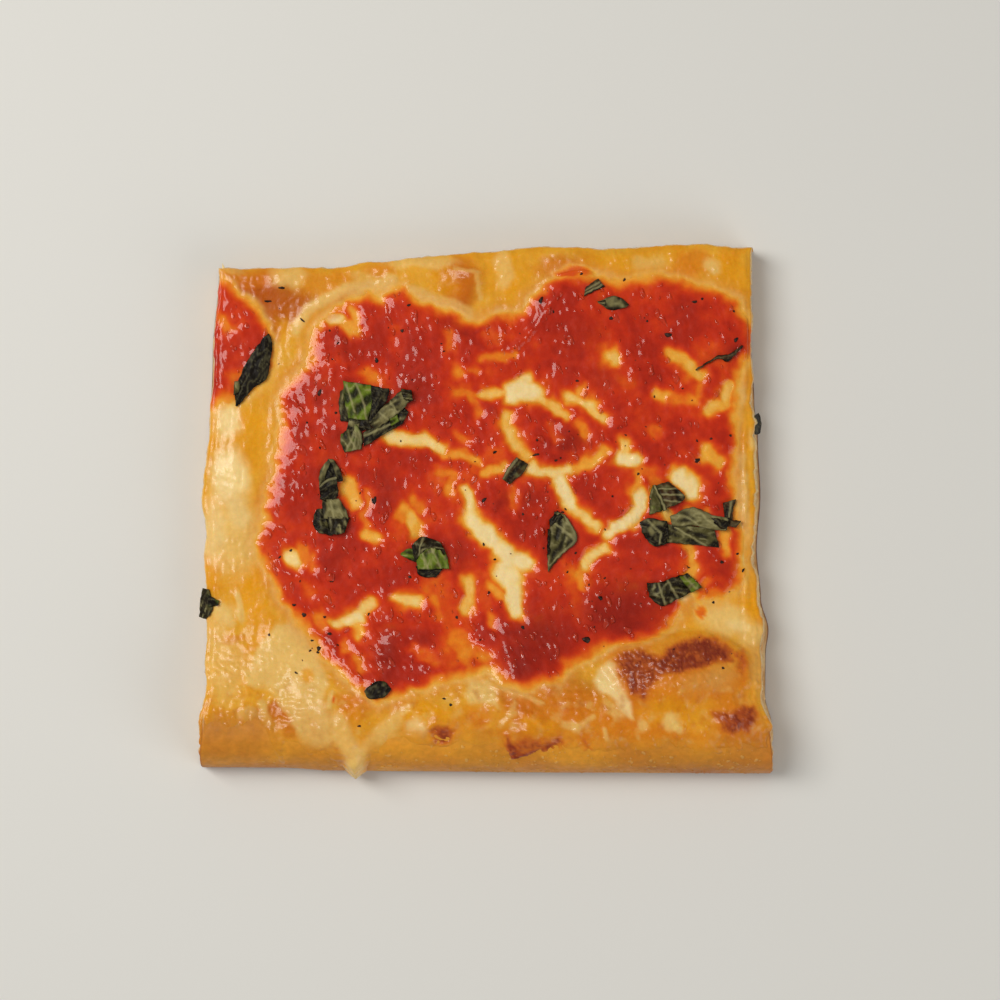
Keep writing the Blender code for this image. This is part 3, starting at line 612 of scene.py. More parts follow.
def rounded(points, spacing, closed=True):
    """Catmull-Rom curve through the points, with a sample about every spacing."""
    p = np.array(points, float)
    before, after, last = np.roll(p, 1, 0), np.roll(p, -1, 0), np.roll(p, -2, 0)
    if not closed:
        before[0], after[-1], last[-2:] = p[0], p[-1], p[-1]
    samples = []
    for a, b, c, d in list(zip(before, p, after, last))[:len(p) if closed else -1]:
        steps = max(1, int(round(np.hypot(*(c - b)) / spacing)))
        t = (np.arange(steps) / steps)[:, None]
        samples.append(b + 0.5 * t * (c - a + t * (2 * a - 5 * b + 4 * c - d
                                                   + t * (3 * (b - c) + d - a))))
    return np.vstack(samples)


def path_distance(x, q, path, closed=False):
    """Distance from each point to the nearest straight step of a path."""
    path = np.array(path, float)
    ends = np.roll(path, -1, 0) if closed else path[1:]
    nearest = np.full(x.shape, 1e9)
    for (ax, aq), (bx, bq) in zip(path, ends):
        dx, dq = bx - ax, bq - aq
        t = np.clip(((x - ax) * dx + (q - aq) * dq) / (dx * dx + dq * dq), 0, 1)
        nearest = np.minimum(nearest, np.hypot(x - ax - t * dx, q - aq - t * dq))
    return nearest


def inside(x, q, outline):
    """Signed distance to a closed outline, positive inside: its sign from edge crossings."""
    outline = np.array(outline, float)
    crossed = np.zeros(x.shape, bool)
    for (ax, aq), (bx, bq) in zip(outline, np.roll(outline, -1, 0)):
        if aq != bq:
            crossed ^= ((aq > q) != (bq > q)) & (x < (bx - ax) * (q - aq) / (bq - aq) + ax)
    return np.where(crossed, 1.0, -1.0) * path_distance(x, q, outline, closed=True)


def shaken(x, q, reach, size, seed, layers=1):
    """A place moved by noise, so that an outline read there gets an uneven edge."""
    return (x + reach * layered(x, q, size, seed, layers),
            q + reach * layered(x, q, size, seed + 2, layers))


sauce_line = rounded(SAUCE_OUTLINE, 3.0)
corner_line = rounded(CORNER_OUTLINE, 2.4)
front_line = rounded(CHEESE_FRONT, 2.0, closed=False)


def sauce_cover(x, q):
    """How fully sauce covers a place, from 0 for bare cheese to 1 for a thick coat.

    Outlines are read at a place shaken by noise, so that their edges are uneven.
    The cover rises over a few millimetres from the edge, and each window takes
    it away round its path, by a share that falls off as a bell curve.
    """
    wx, wq = shaken(x, q, 0.9, 3.8, 81, 2)
    cover = np.zeros_like(x)
    for line, windows in ((sauce_line, SAUCE_WINDOWS), (corner_line, CORNER_WINDOWS)):
        depth = inside(wx, wq, line)
        spread = ease((depth + 2.4) / 5.6) * (0.62 + 0.38 * ease(depth / 4.0))
        for path, half_width, clean in windows:
            beyond = np.clip(path_distance(wx, wq, path) - 0.5 * half_width, 0, None)
            spread = np.minimum(spread, 1.0 - clean * np.exp(-(beyond / (1.15 + 0.5 * half_width)) ** 2))
        cover = np.maximum(cover, spread)
    for cx, cq, half_x, half_q in SAUCE_SPOTS:
        spot = 0.5 * (1 - ease(1.4 * np.hypot((wx - cx) / half_x, (wq - cq) / half_q) - 0.4))
        cover = np.maximum(cover, spot)
    return np.clip(cover, 0.0, 1.0)


SAUCE_RAMP = [(0.0, colour(255, 224, 160)), (0.07, colour(253, 210, 122)), (0.18, colour(249, 176, 58)),
              (0.32, colour(241, 130, 20)), (0.5, colour(229, 84, 10)), (0.68, colour(214, 56, 8)),
              (0.84, colour(200, 44, 8)), (1.0, colour(182, 36, 8))]
DEEP_RED = colour(136, 22, 6)
DEEP_SAUCE = [(33, -24, 17, 11, 1.0), (12, -31, 15, 12, 1.0), (8, -39, 8, 6, 0.8), (-24, -36, 6, 12, 1.0),
              (-15, -31, 5, 4, 0.7), (20, 17, 6, 6, 0.9), (11, 3, 5, 5, 0.6), (4, 3, 3, 5, 0.6),
              (-6.5, -10, 4, 8, 0.6), (-24, 6, 4, 9, 0.6), (-40, 28, 5, 6, 0.5), (-34, 40, 5, 6, 0.5),
              (-16, 30, 6, 7, 0.5), (-7, 45, 9, 6, 0.5), (21, 42, 10, 8, 0.5), (28, 32, 7, 6, 0.45),
              (-38, 16, 4, 8, 0.4), (-44, 18, 3, 5, 0.4), (-36, -11, 6, 5, 0.4), (57, -14, 4, 6, 0.5),
              (13, 51, 2, 4, 0.8), (-38, -32, 4, 3, 0.5), (60.5, 39, 4.5, 4, 0.7),
              (51.5, 12.5, 2, 2.4, 0.6)]


def sauce_paint(x, q, cover):
    """Colour of sauce over cheese: cream, amber, orange, red and deep red as it thickens."""
    tone = layered(x, q, 11.0, 163) + 0.5 * noise(x, q, 2.2, 165)
    thick = np.clip(cover * (0.88 + 0.26 * tone) + 0.04 * noise(x, q, 1.8, 175), 0, 1)
    stops = [s for s, _ in SAUCE_RAMP]
    tint = np.stack([np.interp(thick, stops, [c[i] for _, c in SAUCE_RAMP]) for i in range(3)], -1)
    deep = mounds(x + 1.6 * tone, y_of(q) + 1.6 * tone, DEEP_SAUCE)
    return tinge(tint, DEEP_RED, 0.75 * deep * ease((cover - 0.45) / 0.4))


def front_edge(x, q):
    """Signed distance from the cheese's own edge on the rim, positive on the cheese."""
    wx, wq = shaken(x, q, 0.4, 2.4, 91)
    border_q = np.interp(wx, np.maximum.accumulate(front_line[:, 0]), front_line[:, 1])
    return np.where(wq > border_q, 1.0, -1.0) * path_distance(wx, wq, front_line)


def browning(x, q):
    """How browned the cheese is: the blister outlines with a ragged, feathered border."""
    wx, wq = x + 0.8 * layered(x, q, 3.0, 101, 2), q + 0.7 * layered(x, q, 3.0, 103, 2)
    amount = np.zeros_like(x)
    for outline, strength in BLISTERS:
        depth = inside(wx, wq, outline)
        baked = 0.3 * ease((depth + 4) / 4) + 0.7 * ease((depth + 1.1) / 2.4)
        amount = np.maximum(amount, strength * baked)
    return amount


def blister_cells(x, q):
    """Uneven cells of the browned skin: cells drawn out front to back, at a place shaken by noise."""
    return cells(x + 0.8 * noise(x, q, 1.7, 121), 0.62 * q + 0.5 * noise(x, q, 2.3, 177), 0.95, 123)


def cheese_top(x, q, cover, brown):
    """Lift of the cheese over the dough's skin.

    The smooth sheet is pools on an even thickness, a little higher under the
    sauce, rounded at the cuts, and sunk into the dough beyond its front edge.
    Strings and blister domes stand on it. Soft runs, oily wrinkles, beads and
    blister pits are its fine form.
    """
    y = y_of(q)
    edge = front_edge(x, q)
    depth = CHEESE_THICKNESS + mounds(x, y, CHEESE_POOLS) + 0.2 * ripple(x, y, 21.0, 2.3)
    depth = depth + UNDER_SAUCE_RISE * ease((inside(x, q, sauce_line) + 2) / 9.0)
    lift = -CHEESE_SUNK + (CHEESE_GAP + depth + CHEESE_SUNK) * ease((edge + 3.0) / 19.0)
    shaken_x, shaken_q = shaken(x, q, 0.35, 2.0, 105)
    at_edge = ease(edge / 1.2)
    for path, half_width, rise, _ in CHEESE_STRINGS:
        d = path_distance(shaken_x, shaken_q, path)
        lift = lift + 0.6 * rise * (1 - ease(d / (1.7 * half_width))) * ease((edge + 0.6) / 1.4)
    lift = lift + 0.9 * ease((inside(shaken_x, shaken_q, BLISTER_DOME) + 0.3) / 2.0) * ease((q + 49) / 9)
    lift = lift + 0.5 * ease((inside(shaken_x, shaken_q, TRIANGLE) + 0.3) / 1.4) * at_edge
    lift = lift + 0.4 * ease((inside(shaken_x, shaken_q, BLISTERS[3][0]) + 0.5) / 1.5)
    rings = inside(shaken_x, shaken_q, CRATER)
    sunk_middle = 0.7 * ease((brown - 0.2) / 0.4) * (rings > 0)
    lift = lift + (0.8 * ease((rings + 0.4) / 3.4) - sunk_middle) * at_edge
    runs = 0.26 * layered(x, q * 0.7, 8.0, 111, 3)
    near, following, _ = cells(x + 0.6 * noise(x, q, 2, 113), q, 2.3, 115)
    wrinkles = 0.32 * (following - near - 0.35) * ease(0.4 + 1.3 * noise(x, q, 9, 117))
    near, _, lot = cells(x + 0.25 * q, q * 0.7, 1.35, 119)
    beads = 0.22 * (1 - ease(near / (0.15 + 0.35 * lot))) * (lot > 0.6)
    near, following, lot = blister_cells(x, q)
    pits = 0.42 * (ease((following - near) / 0.8) - 0.45) + 0.3 * (lot - 0.5)
    pits = pits * (0.7 + 0.5 * ease(0.5 + 1.2 * noise(x, q, 4.0, 127)))
    fine = (runs + wrinkles + beads) * (1 - 0.85 * ease(cover / 0.5)) * (1 - 0.6 * brown)
    fine = fine * (1 + 0.6 * ease((-36 - q) / 8))
    from_cut = np.minimum(np.minimum(x - left_edge(y), right_edge(y) - x), back_edge(x) - q)
    rounding = 0.5 * (1 - ease(from_cut / 1.6)) ** 2
    return lift - rounding + (fine + pits * ease((brown - 0.1) / 0.5)) * ease(edge / 2.0)


def spaced(stations):
    """Places from the first station to the last, with gaps that follow each station's gap."""
    place, gap = np.array(stations, float).T
    fine = np.linspace(0, 1, 4000)
    gaps = np.interp(fine[1:], (place - place[0]) / (place[-1] - place[0]), gap)
    count = np.concatenate([[0], np.cumsum(abs(place[-1] - place[0]) / 3999 / gaps)])
    return place[0] + (place[-1] - place[0]) * np.interp(
        np.linspace(0, count[-1], int(np.ceil(count[-1])) + 1), count, fine)


def border(grid):
    """Values round the border of a grid: left column, front row, right column, back row."""
    return np.concatenate([grid[:-1, 0], grid[-1, :-1], grid[:0:-1, -1], grid[0, :0:-1]])


def grid_quads(numbers):
    """Faces of a grid of point numbers, with rows from the back and columns from the left."""
    return np.stack([numbers[:-1, :-1], numbers[1:, :-1], numbers[1:, 1:], numbers[:-1, 1:]],
                    -1).reshape(-1, 4)


def closed_sheet(name, top, rings, tint, under_tone):
    """Piece from a grid of top points, closed from below by rings of points round its border.

    One last face lies across the innermost ring.
    """
    numbers = np.arange(top[..., 0].size).reshape(top.shape[:2])
    ring_numbers = numbers.size + np.arange(rings[..., 0].size).reshape(rings.shape[:2])
    faces = [grid_quads(numbers), band_quads(np.vstack([border(numbers)[None], ring_numbers]), flip=True),
             ring_numbers[-1:, ::-1]]
    tints = np.vstack([tint.reshape(-1, 3), np.broadcast_to(under_tone, (ring_numbers.size, 3))])
    return surface(name, np.concatenate([top.reshape(-1, 3), rings.reshape(-1, 3)]), faces, tints)


# The rows of cheese wrapped over a cut: how far out each lies, and its share of the way down
WRAP = 7
WRAP_OUT = np.array([0.0, 0.22, 0.36, 0.42, 0.40, 0.30, 0.05, -0.7])
WRAP_DOWN = np.array([0.0, 0.05, 0.20, 0.42, 0.66, 0.86, 1.0, 1.02])
CHEESE_END_Q = -73.2
GROOVE_X = 61.9
ACROSS = spaced([(-68, 0.38), (-50, 0.42), (-45, 0.6), (20, 0.6), (28, 0.38), (64, 0.36), (68, 0.34)])
DOWN = spaced([(65, 0.44), (52, 0.46), (46, 0.8), (-26, 0.8), (-34, 0.38), (-60, 0.34),
               (CHEESE_END_Q, 0.4)])


def cheese_place(a, b):
    """Cut edges, lip, x and q at a across the slice and b from its back to the rim's foot."""
    x = -HALF_WIDTH + 2 * HALF_WIDTH * a
    back = back_edge(x) + 0.35 * layered(x, 0 * x, 7.0, 131)
    q = back + (CHEESE_END_Q - back) * b
    y = y_of(q)
    left = left_edge(y) - 0.2 + 0.45 * layered(y, 0 * y, 8.0, 133)
    lip = ease((y + 34) / 12) * (1 - ease((y - 22) / 10))
    right = (right_edge(y) + 0.2 + 0.6 * lip + 0.45 * layered(y, 0 * y + 7, 7.0, 135)
             + (0.12 + 0.4 * lip) * noise(y, 0 * y, 1.5, 171))
    left = left + 1.5 * ease((-57 - q) / 3)
    right = right - 1.5 * ease((-52 - q) / 3)
    return lip, left + (right - left) * a, q


part_a = (ACROSS - ACROSS[0]) / (ACROSS[-1] - ACROSS[0])
part_b = (DOWN[0] - DOWN) / (DOWN[0] - DOWN[-1])
steps_a = np.concatenate([np.arange(-WRAP, 0), np.arange(len(part_a) + WRAP)])
steps_b = np.concatenate([np.arange(-WRAP, 0), np.arange(len(part_b))])
row, column = np.meshgrid(steps_b, steps_a, indexing="ij")
a = part_a[np.clip(column, 0, len(part_a) - 1)]
b = part_b[np.clip(row, 0, len(part_b) - 1)]
lip, x, q = cheese_place(a, b)
y = y_of(q)
cover = sauce_cover(x, q)
brown = browning(x, q)
edge = front_edge(x, q)
groove = 0.3 * lip * (1 - ease(abs(x - GROOVE_X - 0.5 * noise(y, 0 * y, 9, 137)) / 0.9))
lift = cheese_top(x, q, cover, brown) - groove
points = skin(x, q, lift)

over_left = np.clip(-column, 0, WRAP)
over_right = np.clip(column - len(part_a) + 1, 0, WRAP)
over_back = np.clip(-row, 0, WRAP)
over = np.maximum(np.maximum(over_left, over_right), over_back)
on_dough = ease((edge + 0.4) / 2.0)
droop = 1.6 + 0.9 * layered(x + y, 0 * x, 6.0, 139) + 1.2 * lip * (over_right > 0)
depth_here = np.clip(lift, 0.2, None)
fall = WRAP_DOWN[over] * (depth_here + droop.clip(0.5, 3.5) * on_dough)
below = np.clip(fall - depth_here, 0, None)
sideways = WRAP_OUT[np.maximum(over_left, over_right)] * (1.0 + 1.1 * lip) * on_dough
points[..., 0] += (sideways + 0.34 * below) * (over_right > 0) - (sideways + 0.16 * below) * (over_left > 0)
points[..., 1] += (WRAP_OUT[over_back] + 0.12 * below) * (over_back > 0)
points[..., 2] -= fall
along = np.where(over_back > 0, x, y)
torn = (0.08 + 0.2 * layered(along, 1.6 * points[..., 2], 2.2, 149, 3)) * ease((over - 1) / 2.0) * on_dough
points[..., 0] += torn * (1.0 * (over_right > 0) - (over_left > 0))
points[..., 1] += torn * (over_back > 0)

# The crest tone is a painted highlight for the tops of the blister bumps.
CHEESE_TONES = {
    "gold": colour(238, 172, 46), "amber": colour(238, 160, 10), "orange": colour(222, 122, 8),
    "umber": colour(190, 90, 4), "cream": colour(254, 220, 148), "pale": colour(242, 196, 108),
    "tan": colour(224, 164, 80), "pink": colour(224, 136, 64), "toasted": colour(220, 124, 24),
    "browned": colour(184, 84, 28), "charred": colour(136, 48, 22), "crest": colour(210, 112, 52)}
# Tones of the melted cheese, laid one on another: centre, half lengths, turn, strength. A few pale and cream
# spots are painted highlights.
CHEESE_PATCHES = {
    "umber": [(-56, 53, 10, 6, 0, 1.0), (-47, 50, 6, 4, 30, 0.9), (-53, 45, 3, 6, 0, 0.7),
              (-6, 55, 4.6, 6.4, 0, 0.9), (20, 60.4, 7, 3, 0, 0.45), (66.4, 56, 1.8, 4, 0, 0.5),
              (-50.6, -49, 3.2, 3.4, -20, 0.8), (-55, -50.6, 3, 2.4, 20, 0.6), (-47.6, -54, 1.8, 6, 10, 0.6),
              (8.6, -47.4, 5.6, 2.4, -12, 0.8), (20, -45, 8, 5.5, 0, 0.55), (36, -45, 4, 5, 0, 0.7),
              (62, -56, 7, 5, 0, 0.4), (12, -54, 6, 2.6, 0, 0.7)],
    "orange": [(-58, 57, 8, 3, 0, 0.6), (-38, 55, 8, 4, 0, 0.5), (-26, 59, 4, 2.2, 0, 0.5),
               (-6, 57, 6, 6, 0, 0.5), (18, 59, 8, 3.2, 0, 0.6), (50, 60.4, 5, 3.6, 0, 0.7),
               (66.4, 48, 2.2, 7, 0, 0.6), (66.4, 34, 1.8, 9, 0, 0.5), (-57.6, -15, 3.4, 4, 0, 0.4),
               (-62, -31.4, 4.6, 1.8, 0, 0.6), (-32.6, -47.4, 4.6, 2.6, -20, 0.8), (-48, -52, 6, 6, 0, 0.35),
               (14, -48, 12, 6, 0, 0.6), (24, -50, 7, 6, 0, 0.6), (46, -43.4, 17, 6.4, 0, 0.75),
               (36, -48, 6, 5, 0, 0.6), (57, -44, 7, 6, 0, 0.5), (41, -53, 8, 3, 0, 0.5),
               (-15, -50, 5, 2, 0, 0.4), (30, -55.4, 9, 3, 0, 0.5), (54, -57, 12, 4, 0, 0.4),
               (67, -24, 2, 6, 0, 0.4), (-1, -50.4, 3, 2.2, 0, 0.5)],
    "amber": [(-57, 19, 6.6, 7.4, 0, 0.7), (-67, 23, 2, 10, 0, 0.7), (-58, -17.6, 5.6, 7, 0, 0.9),
              (-55.2, -26, 3, 5, 0, 1.0), (-67, -51, 2, 8, 0, 0.9), (-66, -62, 4, 5, 0, 0.6),
              (-14, -49.4, 6.4, 3.2, 0, 1.0), (12, -52.6, 6, 2.6, 0, 0.6), (46, -49, 11, 3.4, 0, 0.6),
              (30, 60, 9, 3, 0, 0.7), (5, 56, 5, 8, 0, 0.6), (60, 58, 8, 4, 0, 0.6),
              (-66, -6, 2, 8, 0, 0.3), (66, -2, 2.6, 14, 0, 0.5), (63, 22, 2, 9, 0, 0.4),
              (65, -22.6, 3, 4, 0, 0.95), (-26, -50, 9, 3, 0, 0.4), (-11, 56, 4, 5, 0, 0.5)],
    "tan": [(-41, -53, 4.6, 9, 0, 0.8), (-46, -40, 5, 6, 0, 0.4), (57, -40, 5, 4, 0, 0.5),
            (66, -36, 3, 9, 0, 0.7), (52, -42, 6, 3, 0, 0.4), (-58, -56, 8, 3, 0, 0.3)],
    "pale": [(-63, -39, 6, 8, 0, 0.55), (-66, -28, 3, 7, 0, 0.6), (-61, -5, 6, 11, 0, 0.8),
             (-63.6, -24.6, 2.4, 2.6, 0, 1.0), (-60.4, -22, 1.0, 3.6, 0, 0.8), (-48, 57, 5, 2.8, 0, 0.75),
             (-16, 60.6, 9, 1.6, 0, 0.7), (-30, 57, 4, 1.4, 0, 0.4), (4, 58.6, 2.4, 5.6, 0, 0.7),
             (54.6, 59.4, 2.6, 1.8, 0, 0.8), (39, 60.4, 4, 1.6, 0, 0.5), (-62, 58.6, 3, 1.2, 0, 0.4),
             (57.6, -26, 7, 4.2, -14, 1.0), (64.2, -30.6, 3.6, 3.4, 0, 0.8),
             (62, 3, 1.6, 6.4, 0, 0.8), (61.4, 12, 1.2, 2.6, 0, 0.9), (64.6, 17.4, 1.5, 2.4, 0, 0.9),
             (62.2, 28.4, 1.0, 2.4, 0, 0.8), (66, -8, 2.4, 8, 0, 0.3), (-41.5, -46, 1.6, 2.2, 20, 0.8),
             # Painted highlights: the pale spots at (44.8, -51.6) and (37.8, -52) below the big blister.
             (44.8, -51.6, 2.8, 2.2, 0, 0.9), (37.8, -52, 1.8, 1.6, 0, 0.7), (31, -48.6, 3, 1.6, -35, 0.5),
             (-23, -56, 4, 3.4, 0, 0.7), (60, 51, 2.2, 3, 0, 0.4), (-20, -48.6, 2.4, 1.2, 20, 0.7),
             (-9, -57.6, 3.4, 1.4, 0, 0.5), (20, -52.4, 3, 1.2, -20, 0.6), (-58, -50, 2.4, 1.6, 0, 0.6)],
    "cream": [(-62.6, 22, 3.2, 4.4, 0, 0.9), (-62.4, 9, 5.2, 7, 0, 0.9), (-66.4, -4, 3, 9, 0, 0.6),
              # Painted highlights: the cream spots at (-17, -54.2) on the crater dome, at (28.2, -43) and
              # (33.4, -48.4) along the pale pocket, and at (-2.6, -44.6) on the front blob.
              (-60, 0, 3, 4, 0, 0.5), (-17, -54.2, 2.8, 3.4, 0, 1.0), (28.2, -43, 2.6, 2.2, -40, 0.7),
              (33.4, -48.4, 1.0, 2.6, 35, 0.6), (-2.6, -44.6, 1.4, 1.2, 0, 0.8),
              (-46, 45.4, 1.2, 1.4, 0, 0.6), (61, -27, 3, 1.6, -20, 0.5)]}

wander_x, wander_q = 1.1 * layered(x, q, 5.0, 141, 3), 1.1 * layered(x, q, 5.0, 143, 3)
mottle = layered(x, q, 7.0, 145)
cheese_tint = coated(
    CHEESE_TONES["gold"], (CHEESE_TONES["amber"], 0.25 + 0.6 * mottle),
    (CHEESE_TONES["orange"], 0.45 * ease((-44 - q) / 8) + 0.35 * mottle))
for tone, patches in CHEESE_PATCHES.items():
    for cx, cq, half_x, half_q, turn, strength in patches:
        t = np.radians(turn)
        u = ((x + wander_x - cx) * np.cos(t) + (q + wander_q - cq) * np.sin(t)) / half_x
        v = ((q + wander_q - cq) * np.cos(t) - (x + wander_x - cx) * np.sin(t)) / half_q
        amount = strength * (1 - ease((np.hypot(u, v) - 0.5) / 0.8))
        cheese_tint = tinge(cheese_tint, CHEESE_TONES[tone], amount)
for outline, tone, strength in ((PALE_FLOW, "pale", 0.95), (PALE_POCKET, "cream", 0.85),
                                (FRONT_BLOB, "pale", 0.95)):
    amount = ease((inside(x + 0.5 * wander_x, q + 0.5 * wander_q, outline) + 0.6) / 1.5)
    cheese_tint = tinge(cheese_tint, CHEESE_TONES[tone], strength * amount)
bubbled = ease((-38 - q) / 7) * ease((edge - 1.5) / 3)
oily_spot = 1 - ease((np.hypot((x + 43.2) / 1.8, (q + 40.6) / 2.3) - 0.5) / 0.7)
flow_front = ease((-43 - q) / 12) * ease((inside(x, q, PALE_FLOW) + 0.5) / 2)
cheese_tint = coated(
    cheese_tint, (CHEESE_TONES["pale"], 0.5 * bubbled * ease(layered(x, q, 2.7, 181, 3) - 0.1)),
    (CHEESE_TONES["umber"], 0.4 * bubbled * ease(layered(x, q, 3.1, 183, 3) - 0.1)),
    (CHEESE_TONES["amber"], 0.8 * oily_spot), (CHEESE_TONES["tan"], 0.55 * flow_front))
for path, half_width, _, pale in CHEESE_STRINGS:
    d = path_distance(x + 0.4 * wander_x, q + 0.4 * wander_q, path)
    on_string = 1 - ease((d - 0.5 * half_width) / half_width)
    cheese_tint = tinge(cheese_tint, CHEESE_TONES["pale"], pale * on_string)
drip = 1 - ease((path_distance(x, q, LONG_DRIP) - 2.2) / 1.6)
near_front = (1 - ease((edge - 1.4 - 1.5 * mottle) / 5.5)) * (1 - drip) * (q < 0)
into_sauce = inside(x + 0.6 * wander_x, q + 0.6 * wander_q, sauce_line)
stain = ease(1 + into_sauce / 4.5) * (0.4 + 0.3 * noise(x, q, 13, 147))
# Painted highlights: the crest tone lightens the tops of the blister bumps, which also take less of the
# browned and charred coats than the seams between them.
near, following, lot = blister_cells(x, q)
seam = following - near
charred = ease(2.2 * brown - 1.35 + 0.7 * (lot - 0.5) - 0.3 * seam + 0.3 * noise(x, q, 2.6, 173))
painted_crest_highlights = ease(1.6 * brown - 0.2) * ease((seam - 0.34) / 0.4) * ease(0.5 + 1.3 * noise(x, q, 1.9, 179))
streaky = layered(along, 2.6 * points[..., 2], 3.4, 167, 3)
cut_tone = tinge(CHEESE_TONES["cream"], CHEESE_TONES["tan"], 0.25 + 0.6 * streaky)
run_down = (0.2 + 1.1 * ease(noise(along, 0 * along, 2.6, 169))) * ease(cover / 0.4)
cheese_tint = coated(
    cheese_tint, (rim_tint(x, points[..., 2]), near_front), (CHEESE_TONES["pink"], stain),
    (sauce_paint(x, q, cover), np.maximum(ease(cover / 0.3), ease((into_sauce - 0.5) / 2.5))),
    (CHEESE_TONES["toasted"], ease(1.9 * brown)),
    (CHEESE_TONES["browned"], ease(1.6 * brown - 0.35 + 0.3 * (lot - 0.5) - 0.2 * seam)),
    (CHEESE_TONES["charred"], charred), (CHEESE_TONES["crest"], 0.55 * painted_crest_highlights),
    (cut_tone, 0.9 * (over > 0) * ease((fall - 0.15 - run_down) / 0.9)))

loop_rings = np.array([0.014, 0.03, 0.05, 0.08, 0.115, 0.155, 0.2, 0.26, 0.34, 0.45, 0.6, 0.78, 0.95])
loop_rings = loop_rings[:, None]
_, ring_x, ring_q = cheese_place(drawn_in(border(a), loop_rings), drawn_in(border(b), loop_rings))
sunk = 1.0 * (loop_rings < 0.02) + 1.1 * (1 - ease((front_edge(ring_x, ring_q) - 1) / 3))
rings = skin(ring_x, ring_q, CHEESE_GAP - 0.3 - sunk)
cheese = closed_sheet("melted_cheese", points, rings, cheese_tint, CHEESE_TONES["pale"])
serve(cheese, food_finish("melted_cheese", (0.24, 0.42), [(160, 0.05), (900, 0.05)],
                          [(700, 0.00012), (1900, 0.00005)], 0.18, coat=0.3, coat_roughness=0.12, gloss=0.2),
      "cheese", "cheese")

# The sauce. Crushed tomato cooked on top of the cheese: a wet red film, thin and
# orange round the windows and dark where it dried, with pieces of pulp in it.
# A second patch was cut through at the back left corner.

SAUCE_RIDGES = [([(-27.2, -19.6), (-28.3, -24), (-27.6, -28.4), (-26.4, -30.4)], 0.5, 0.5),
                ([(5.6, 7), (6.2, 2), (8, -2)], 0.5, 0.5), ([(17.8, 54), (12, 45), (6, 39)], 1.6, 0.5),
                ([(18, 34), (24, 31)], 3.0, 0.3), ([(-6.6, 3), (-5.4, -3)], 0.6, 0.3),
                ([(-25, -21), (-22.6, -28), (-23.4, -38)], 4.0, 0.5), ([(20, 19), (17, 16)], 4.0, 0.4)]


def sauce_top(x, q, cover):
    """Lift of the sauce: the cheese below it and a film that rises with its cover.

    Below a cover of about a quarter it dips under the cheese, which opens the windows.
    """
    film = -0.3 + 0.4 * ease(cover / 0.35) + 0.4 * ease((cover - 0.2) / 0.8)
    swell = 0.16 * layered(x, q, 6.0, 151, 3)
    ridges = sum(rise * (1 - ease(path_distance(x, q, path) / half)) for path, half, rise in SAUCE_RIDGES)
    near, following, lot = cells(x + 0.3 * q, q * 0.6, 2.0, 153)
    pulpy = 0.16 * (following - near) * (lot > 0.3)
    near, _, lot = cells(x + 0.25 * q + 0.3 * noise(x, q, 1.6, 155), q * 0.42, 1.5, 157)
    busy = 0.15 + 0.85 * ease(0.45 + 1.3 * noise(x, q, 8.0, 159))
    pulpy = pulpy + 0.44 * busy * (1 - ease(near / (0.2 + 0.5 * (lot - 0.45)))) * (lot > 0.55)
    return cheese_top(x, q, cover, 0 * x) + film + (swell + ridges + pulpy) * ease((cover - 0.25) / 0.6)


def food_top(x, q):
    """Lift of what lies on top at a place: the sauce or the cheese."""
    cover = sauce_cover(x, q)
    return np.maximum(sauce_top(x, q, cover), cheese_top(x, q, cover, 0 * x))


def at_shares(curve, t):
    """Places on a curve at shares t of its length."""
    run = np.concatenate([[0], np.cumsum(np.hypot(*np.diff(curve, axis=0).T))])
    return np.stack([np.interp(t * run[-1], run, curve[:, k]) for k in (0, 1)], -1)


def four_sided_patch(outline, corners, u, v):
    """Grid inside a clockwise outline that is split at four corners.

    The four sides are blended: back and front by v, left and right by u, less the
    blend of the corners that both pairs share.
    """
    at = [int(np.argmin(np.hypot(*(outline - c).T))) for c in corners]
    turned = np.roll(outline, -at[0], 0)
    at = [(i - at[0]) % len(outline) for i in at] + [len(outline)]
    loop = np.vstack([turned, turned[:1]])
    back, right, front, left = (at_shares(loop[first:last + 1], t)
                                for first, last, t in zip(at, at[1:], (u, v, 1 - u, 1 - v)))
    u, v = u[None, :, None], v[:, None, None]
    blend = (1 - v) * back[None] + v * front[None] + (1 - u) * left[:, None] + u * right[:, None]
    shared = ((1 - u) * (1 - v) * back[0] + u * (1 - v) * back[-1]
              + (1 - u) * v * front[0] + u * v * front[-1])
    return blend - shared


def sauce_sheet(name, outline, corners, counts, node):
    """Closed sheet of sauce on the cheese, wider than its outline and sunk beyond it.

    Its underside lies inside the cheese.
    """
    tangent = np.roll(outline, -1, 0) - np.roll(outline, 1, 0)
    tangent = tangent / np.hypot(*tangent.T)[:, None]
    wider = outline + 2.2 * np.stack([-tangent[:, 1], tangent[:, 0]], -1)
    y = y_of(wider[:, 1])
    wider[:, 0] = np.clip(wider[:, 0], left_edge(y) - 0.1, right_edge(y) - 0.2)
    flat = four_sided_patch(wider, corners, np.linspace(0, 1, counts[0]), np.linspace(0, 1, counts[1]))
    x, q = flat[..., 0], flat[..., 1]
    cover = sauce_cover(x, q)
    lift = sauce_top(x, q, cover) - 0.8 * ease((-0.6 - inside(x, q, outline)) / 1.4)
    top = skin(x, q, lift)
    shrink = np.array([0.004, 0.02, 0.05, 0.1, 0.18, 0.3, 0.45, 0.65, 0.9])[:, None]
    ring_x = border(x) + (x.mean() - border(x)) * shrink
    ring_q = border(q) + (q.mean() - border(q)) * shrink
    ring_lift = cheese_top(ring_x, ring_q, 0 * ring_x + 1, 0 * ring_x) - 0.5
    rings = skin(ring_x, ring_q, np.minimum(ring_lift, border(lift) - 0.2))
    sheet = closed_sheet(name, top, rings, sauce_paint(x, q, cover), DEEP_RED)
    return serve(sheet, tomato, "sauce", node)


